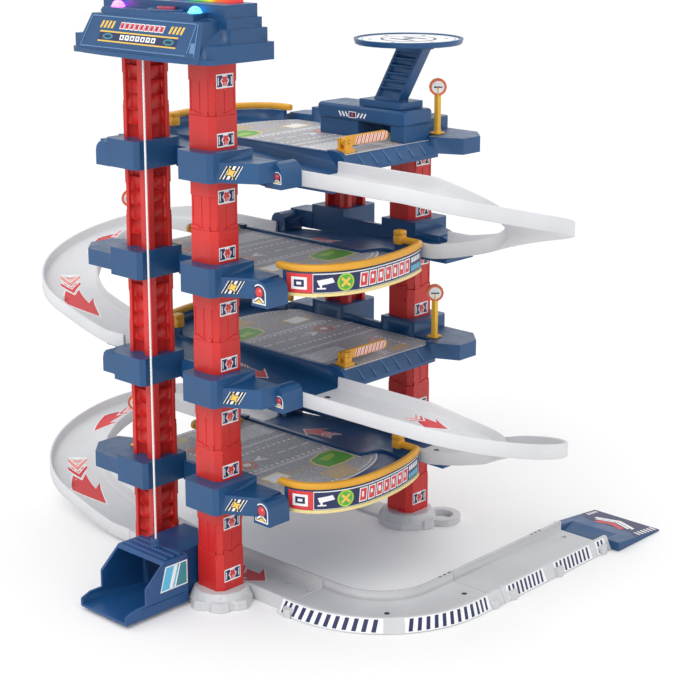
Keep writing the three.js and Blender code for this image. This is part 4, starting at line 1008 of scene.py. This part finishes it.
class RimLine:
    """The bulge's rim as a smooth curve, by distance from its short end."""

    def __init__(self):
        self.corners = rim(0, BULGE_STEPS)
        self.runs = [(b - a).length for a, b in zip(self.corners, self.corners[1:])]
        self.length = sum(self.runs)

    def place(self, distance, up, out):
        index = 0
        while index < len(self.runs) - 1 and distance > self.runs[index]:
            distance -= self.runs[index]
            index += 1
        start, end = self.corners[index], self.corners[index + 1]
        along = (end - start).normalized()
        return start + along * distance + Vector((along.y, -along.x, 0)) * out + Vector((0, 0, up))


def print_band(level):
    line = RimLine()
    matrix = level_matrix(level)
    wall = (rect(BAND_MARGIN, line.length - BAND_MARGIN, -4.9, 11.4), "relief_blue", 0, 0.05)
    print_on(f"bulge_{level}_band", lambda u, v, w: matrix @ line.place(u, v, w), [wall, *BAND_ART],
             step=BAND_STEP, sunk=BULGE_SUNK)


# Print, rim and lights of the roof

PANEL_INSET = 4
PANEL_LEAN = 11 / 25.5
PANEL_STRETCH = hypot(1, PANEL_LEAN)
STAGE_Z = 408.5
LED_RADIUS = 4.2
LED_GLOW = 5.0
LED_SIDES = 24
LEDS = (("led_blue", (-116, -36.5), (60, 150, 255)), ("led_purple", (-117, 38.5), (206, 80, 232)))
# From a dome's foot to its top: shares of its radius for its width and its height
LED_SHARES = ((1.12, -0.1), (1.12, 0.12), (1.0, 0.16), (0.92, 0.42), (0.74, 0.68), (0.46, 0.88), (0.14, 0.98))
RING_CENTRE = (-117, -10)
RING_HALF = (7.6, 14)
RING_SIDES = 40
RING_SECTION = ((-1.6, -0.2), (1.6, -0.2), (1.5, 0.7), (0.8, 1.2), (-0.8, 1.2), (-1.5, 0.7))
# Raised lines of lighter blue round the panel's frame, whose colour is a painted highlight: places along Y,
# heights and lean
PANEL_EDGE_HIGHLIGHTS = ((57.5, 56.8, 4.5, 24.4, 4.6), (-48, -48.7, 6, 24, 1.5), (52.4, -50, 23.7, 24.4),
               (57, -47.6, 4.2, 4.9), (-55.4, -56.1, 4.5, 24.4, -4.4))


def on_stage(centre, u, v, up):
    """A point beside a place on the roof's flat stage, in metres."""
    return Vector((MIDDLE_X + centre[0] + u, centre[1] + v, STAGE_Z + up)) * MM


def make_led(name, centre, colour):
    """A glowing dome on the roof's stage."""
    surface = Surface(name, 0.2)
    surface.set("Transmission Weight", 0.2)
    tint = surface.ramp(surface.noise(900), [(0.35, shade(colour, 0.8)), (0.65, shade(colour, 1.3))])
    surface.colour(tint)
    surface.glow(tint, LED_GLOW)
    rings = []
    for width, height in LED_SHARES:
        outline = oval(0, 0, LED_RADIUS * width, LED_RADIUS * width, LED_SIDES)
        rings.append([on_stage(centre, u, v, LED_RADIUS * height) for u, v in outline])
    add_piece(name, skin_rings(rings), surface.material)


def make_roof_ring():
    """The raised oval rim round the call button."""
    rings = [[on_stage(RING_CENTRE, u * (RING_HALF[0] + across), v * (RING_HALF[1] + across), up)
              for across, up in RING_SECTION] for u, v in oval(0, 0, 1, 1, RING_SIDES)]
    add_piece("roof_button_rim", skin_rings(rings, looped=True), blue_plastic)


def on_panel(outline):
    """An outline on the roof's slanted front, given by its places along Y and its heights."""
    return [(-y, z * PANEL_STRETCH) for y, z in outline]


def quad(y0, y1, z0, z1, lean=0.0):
    return on_panel(rect(y0, y1, z0, z1, -lean))


ROOF_ART = [
    *repeated([(quad(42.5, 40.5, 16.8, 21.4, 1.6), "yellow", 1)], 4, 3.7),
    *repeated([(quad(-26, -28, 16.8, 21.4, 1.6), "yellow", 1)], 4, 3.6),
    *repeated([(quad(22.6, 18.4, 16.8, 21.2, 0.8), "white", 1)], 9, 4.9),
    *repeated([(quad(22.1, 18.9, 17.3, 20.7, 0.6), "red", 2)], 9, 4.9),
    *repeated([(quad(21, 20, 18.2, 19.2), "navy", 3)], 5, 9.8),
    *repeated([(quad(16.1, 15.1, 18.2, 19.8), "navy", 3)], 4, 9.8),
    (quad(41, -36.5, 14.2, 15.1), "yellow", 1),
    (quad(41, -36.5, 8.2, 9.1), "yellow", 1),
    (quad(41, -36.5, 9.1, 14.2), "navy"),
    *repeated([(quad(19.5, 15.5, 10.2, 13.3), "white", 1)], 7, 5.2),
    *repeated([(quad(18.3, 16.7, 10.9, 12.4), "navy", 2)], 4, 10.4),
    *repeated([(quad(13.1, 11.5, 11.4, 12.4), "navy", 2)], 3, 10.4),
    *repeated([(on_panel(oval(32, 11.7, 5.2, 1.9)), "teal", 1)], 2, 60.5),
    *repeated([(on_panel(oval(32, 11.7, 3.4, 1.0)), "navy", 2)], 2, 60.5),
    # Lighter blue raised lines on the frame and one quad beside it: painted highlights
    *[(quad(*sizes), "edge", 0, 0.35) for sizes in PANEL_EDGE_HIGHLIGHTS],
    (on_panel([(-50.5, 6.5), (-55, 6.5), (-53.4, 12.5), (-49.6, 12.5)]), "edge", 0, 0.3),
]


def print_roof():
    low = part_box("roof_shell")[0] / MM
    face = facing((low.x + PANEL_INSET, 0, low.z), (0, -1, 0), (PANEL_LEAN, 0, 1))
    print_on("roof_panel_print", face, ROOF_ART)
    make_roof_ring()
    for led in LEDS:
        make_led(*led)


# Arrows, and the prints of the lanes and ramps

ARROW_RIM = 1.2
ARROW_CENTRE_SHARE = 0.62
CHEVRON_RIM_SHARE = 0.022
LANE_FALL = 0.0764
LANE_MIDDLE = (-48, 0, -0.87)
PIN_INSET = 9
RAMP_CUT = 3.0


def arrow(tip, tail, half, across=0.0):
    """A red arrow with a white rim and two chevrons behind it."""
    def at(share, side):
        return (tail + share * (tip - tail), across + side * half)

    body = [at(1, 0), at(0.58, 1), at(0.68, 0.42), at(0.34, 0.42), at(0.46, 0),
            at(0.34, -0.42), at(0.68, -0.42), at(0.58, -1)]
    share = 1 + ARROW_RIM / half
    plates = [(grown(body, at(ARROW_CENTRE_SHARE, 0), share, share), "white", 0), (body, "red", 1)]
    for start, colour in ((0.17, "red"), (0.02, "pink")):
        for edge, look, layer in ((CHEVRON_RIM_SHARE, "white", 0), (0, colour, 1)):
            tail_end, inner, wing_end = start - edge, start + 0.16 - edge, start + 0.06 + edge
            chevron = [at(tail_end, 0.6), at(wing_end, 0.6), at(start + 0.24 + edge, 0), at(wing_end, -0.6),
                       at(tail_end, -0.6), at(inner, 0)]
            plates.append((chevron, look, layer))
    return plates


# Red arrows of the ramps on the left, one on the right, and yellow chevrons under the top deck
ODD_RAMP_ART = arrow(264, 204, 12.5) + arrow(172, 130, 10.5)
RAMP_CHEVRON = [([(68, 3.4), (70.2, 3.4), (74, 0), (70.2, -3.4), (68, -3.4), (71.6, 0)], "yellow", 1)]
RAMP_ART = {1: ODD_RAMP_ART, 2: arrow(110, 76, 9.5, 7), 3: ODD_RAMP_ART, 4: repeated(RAMP_CHEVRON, 3, 6)}


def print_ramps():
    line = RampLine()
    pins = [(oval(u, 0, 2.1, 2.1, 16), "relief_dark", 1) for u in (PIN_INSET, line.total - PIN_INSET)]
    for level in LEVELS:
        matrix = level_matrix(level)
        lane = facing(LANE_MIDDLE, (0, -1, -LANE_FALL), (1, 0, 0), level)
        print_on(f"lane_{level}_print", lane, arrow(29, -6, 11))
        print_on(f"ramp_{level}_print", lambda u, v, w: matrix @ line.place(u, v, w), RAMP_ART[level] + pins,
                 step=RAMP_CUT)


# Ground track

TRACK_MIDDLE_X = -62.5
TRACK_START_Y = -78
TRACK_LEAD = 15
TRACK_RADIUS = 64
TRACK_FLOOR = 3
TRACK_CUT = 2.0
KERB_TOP = 10
KERB_IN = 19.5
KERB_OUT = 22
KERB_FOOT = 27
KERB_TILT = hypot(KERB_TOP, KERB_FOOT - KERB_OUT)
# Striped stretches of the outer kerb: start, end and count of the bars
KERB_STRIPES = ((4, 62, 12), (75, 128, 12), (151, 192, 9), (207, 249, 9), (259, 268, 2))
STRIPE_SHARE = 0.46
STRIPE_SLANT = 1.2


def track_place(distance, across, up):
    """A point beside the track's middle line, by distance from the foot of the straight."""
    x, y = bend(distance - TRACK_LEAD, TRACK_RADIUS, TRACK_RADIUS + across, pi / 2)
    return Vector((MIDDLE_X + TRACK_MIDDLE_X + TRACK_RADIUS + x, TRACK_START_Y - TRACK_LEAD + y, up)) * MM


def slope_place(distance, down, out):
    """On the kerb's outer slope; down runs from 0 at its top to 1 at the floor."""
    across = KERB_OUT + (KERB_FOOT - KERB_OUT) * down + out * KERB_TOP / KERB_TILT
    up = KERB_TOP * (1 - down) + out * (KERB_FOOT - KERB_OUT) / KERB_TILT
    return track_place(distance, across, up)


def kerb_art():
    art = []
    for start, end, count in KERB_STRIPES:
        pitch = (end - start) / count
        first = start + STRIPE_SLANT
        bar = rect(first, first + STRIPE_SHARE * pitch, 0.1, 0.86, -STRIPE_SLANT)
        art.append((rect(start - 1.5, end + 1.0, 0.04, 0.92), "white"))
        art += repeated([(bar, "navy", 1)], count, pitch)
    return art


def print_track():
    print_on("track_kerb_print", slope_place, kerb_art(), step=TRACK_CUT)
    marks = repeated([(rect(129, 131.4, 0.5 - KERB_OUT, -KERB_IN - 0.5), "navy")], 3, 5)
    print_on("track_inner_print", lambda u, v, w: track_place(u, v, KERB_TOP + w), marks + placed(marks, 107),
             step=TRACK_CUT)
    pins = repeated([(oval(66, 0, 2.0, 2.0, 16), "relief_dark")], 2, 66)
    print_on("track_floor_print", lambda u, v, w: track_place(u, v, TRACK_FLOOR + w), pins, step=TRACK_CUT)
    flat = facing((TRACK_MIDDLE_X + MIDDLE_X, 0, TRACK_FLOOR), (0, -1, 0), (1, 0, 0))
    print_on("track_straight_print", flat, arrow(40, 2, 14))


# Exit flap

FLAP_TOP = 7
FLAP_FALL = 5.8 / 55.7
CHEVRON_SLANT = 0.42


def chevron(apex, reach, width, colour):
    """Both wings of a chevron that points along the flap."""
    back = apex - width * 1.5
    fall = CHEVRON_SLANT * reach
    return [([(apex, 0), (back, 0), (back - fall, side * reach), (apex - fall, side * reach)], colour, 1)
            for side in (-1, 1)]


FLAP_ART = [
    ([(24, -29.6), (55.4, -29.6), (55.4, 29.6), (36, 29.6), (30.5, 20), (30.5, -20)], "navy"),
    *chevron(47.5, 17.5, 2.4, "white"),
    *chevron(43.0, 15, 1.6, "white"),
    *chevron(38.6, 12, 3.4, "red"),
    *repeated([(rect(30, 31.9, -28.6, -22.6, 1), "white", 1)], 6, 4.2),
    *repeated([(rect(40, 42, 24.4, 27.6), "white", 1)], 4, 3.4),
]


def print_flap():
    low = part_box("exit_flap")[0] / MM
    top = facing((low.x, middle_of("exit_flap")[1], FLAP_TOP), (1, 0, -FLAP_FALL), (0, 1, 0))
    print_on("exit_flap_print", top, FLAP_ART)


# Barrier arms and road signs

ARM_PIN = (-7.6, -66, 12.3)
ARM_HALF = 1.5
ARM_STRIPES = [(rect(8.5, 11.4, -2.9, 2.9, 2.2), "white"), (rect(9.2, 10.5, -2.9, 2.9, 2.2), "red", 1)]
SIGN_HEIGHT = 41.6
SIGN_PLACE = (84.5, -71)
SIGN_HALF = 1.2
SIGN_ART = [
    (oval(0, 0, 6.2, 6.2), "orange", 0, 0.78),
    (oval(0, 0, 4.5, 4.5), "white", 0, 0.86),
    (rect(-3, 3, -0.5, 0.5), "navy", 0, 0.92),
]


def print_barrier(level):
    x, y, z = ARM_PIN
    for side, name in ((-1, "front"), (1, "back")):
        face = facing((x, y + side * ARM_HALF, z), (-side, 0, 0), (0, 0, 1), level)
        stripes = placed(repeated(ARM_STRIPES, 8, 4), flip=-side)
        print_on(f"barrier_arm_{level}_{name}_print", face, stripes, f"barrier_{level}")


def print_sign(level):
    for side, name in ((-1, "out"), (1, "in")):
        normal = Vector((side, side, 0)).normalized()
        start = Vector((*SIGN_PLACE, SIGN_HEIGHT)) + normal * SIGN_HALF
        face = facing(start, Vector((0, 0, 1)).cross(normal), (0, 0, 1), level)
        print_on(f"road_sign_{level}_{name}_print", face, SIGN_ART)


# Windows of the lift cage

CAGE_SIDE = 24.5
# The window's frame, its pane with a darker part and two white slanted bars that are painted highlights, and
# a rib below it
CAGE_ART = [
    ([(30.6, 16.5), (55.4, 16.5), (55.4, 34.1), (35.6, 34.1)], "white"),
    ([(31.5, 17.4), (54.5, 17.4), (54.5, 33.2), (36.5, 33.2)], "cyan", 1),
    ([(44.84, 17.4), (54.5, 17.4), (54.5, 33.2), (46.94, 33.2)], "teal", 2),
    (rect(38.5, 41.6, 17.6, 33, 5), "white", 3),
    (rect(43.2, 44.4, 17.6, 33, 4.8), "white", 3),
    (rect(14, 54, 9.4, 10.4), "relief_cage", 0, 0.6),
]


def print_cage():
    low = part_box("lift_cage")[0] / MM
    for side, name in ((-1, "front"), (1, "back")):
        face = facing((low.x, side * CAGE_SIDE, 0), (-side, 0, 0), (0, 0, 1))
        print_on(f"lift_cage_{name}_print", face, placed(CAGE_ART, flip=-side), "lift")


# Landing pad and the bridge's plain emblem

PAD_SUNK = 1
PAD_DOT_ANGLES = [pi * step / 3 + 0.3 for step in range(6)]
PAD_ART = [
    (oval(0, 0, 35.8, 35.8, 56), "white"),
    (oval(0, 0, 33.5, 33.5, 56), "cyan", 1),
    (oval(0, 0, 32.6, 32.6, 56), "white", 2),
    (oval(0, 0, 20, 20, 48), "navy", 3),
    (oval(0, 0, 18, 18, 48), "white", 4),
    *[(oval(u, v, 1.6, 1.6, 14), "navy", 3) for u, v in arc(0, 0, 27, 27, PAD_DOT_ANGLES)],
    (rect(-9, -5, -11, 11), "navy", 5),
    (rect(5, 9, -11, 11), "navy", 5),
    (rect(-5, 5, -2, 2), "navy", 5),
]
LABEL_Z = 325
LABEL_SHARE = 0.42
LABEL_BARS = repeated([(stroke((4.6, -1.7), (6.8, 1.7), 1.3), "white")], 3, 3.2)
LABEL_ART = [
    *placed(LABEL_BARS, flip=-1),
    *LABEL_BARS,
    (rect(-3.6, 3.6, -2.3, 2.3), "white"),
    (rect(-3.0, 3.0, -1.8, 1.8), "navy", 1),
    (star(0, 0, 1.7, 0.8, 5), "red", 2),
]


def print_helipad():
    x, y, _ = middle_of("helipad_disc")
    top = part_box("helipad_disc")[1].z / MM
    print_on("helipad_print", facing((x, y, top - PAD_SUNK), (1, 0, 0), (0, 1, 0)), PAD_ART)
    low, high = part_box("helipad_bridge")
    start = (low.x / MM, (high.y + (low.y - high.y) * LABEL_SHARE) / MM, LABEL_Z)
    print_on("helipad_bridge_label", facing(start, (0, -1, 0), (0, 0, 1)), LABEL_ART)


# White studio and its floor, in metres

WORLD_LIGHT = 1.0
FLOOR_GLOW = 0.06
FLOOR_SIZE = 40
FLOOR_DROP = 0.0002
KEY_ENERGY = 12
KEY_SIZE = 1.2
KEY_PLACE = (-1.5, -0.4, 1.7)
KEY_AIM = (0, 0, 0.2)


def make_world():
    world = bpy.data.worlds.new("studio")
    bpy.context.scene.world = world
    world.use_nodes = True
    light = world.node_tree.nodes["Background"]
    light.inputs["Color"].default_value = (1, 1, 1, 1)
    light.inputs["Strength"].default_value = WORLD_LIGHT


def make_floor():
    """Pale paper that glows a little for the camera alone, so that it meets the white background."""
    shape = bmesh.new()
    bmesh.ops.create_grid(shape, x_segments=8, y_segments=8, size=FLOOR_SIZE / 2)
    mesh = bpy.data.meshes.new("floor")
    shape.to_mesh(mesh)
    shape.free()
    surface = Surface("floor_paper", 0.9)
    surface.set("Specular IOR Level", 0)
    surface.mottled(3, 2, (247, 247, 247), (249, 249, 249))
    path = surface.node("ShaderNodeLightPath")
    surface.set("Emission Color", (1, 1, 1, 1))
    surface.link(surface.between(path.outputs["Is Camera Ray"], 0, FLOOR_GLOW, 0, 1), surface.shader,
                 "Emission Strength")
    mesh.materials.append(surface.material)
    floor = new_object("floor", mesh)
    floor.location = (0, 0, -FLOOR_DROP)


def make_lamp():
    data = bpy.data.lights.new("key", "AREA")
    data.energy = KEY_ENERGY
    data.size = KEY_SIZE
    lamp = new_object("key", data)
    lamp.location = KEY_PLACE
    lamp.rotation_euler = (Vector(KEY_AIM) - Vector(KEY_PLACE)).to_track_quat("-Z", "Y").to_euler()


make_camera()
dress_nodes()
make_sleeves()
make_ramps()
make_rails()
make_cord()
for deck_level in LEVELS:
    print_deck(deck_level)
    print_slope(deck_level)
    print_band(deck_level)
    print_barrier(deck_level)
    print_sign(deck_level)
    print_boss(deck_level)
print_columns()
print_collars()
print_roof()
print_ramps()
print_track()
print_flap()
print_cage()
print_helipad()
make_world()
make_floor()
make_lamp()
bpy.context.scene.view_settings.view_transform = "Standard"
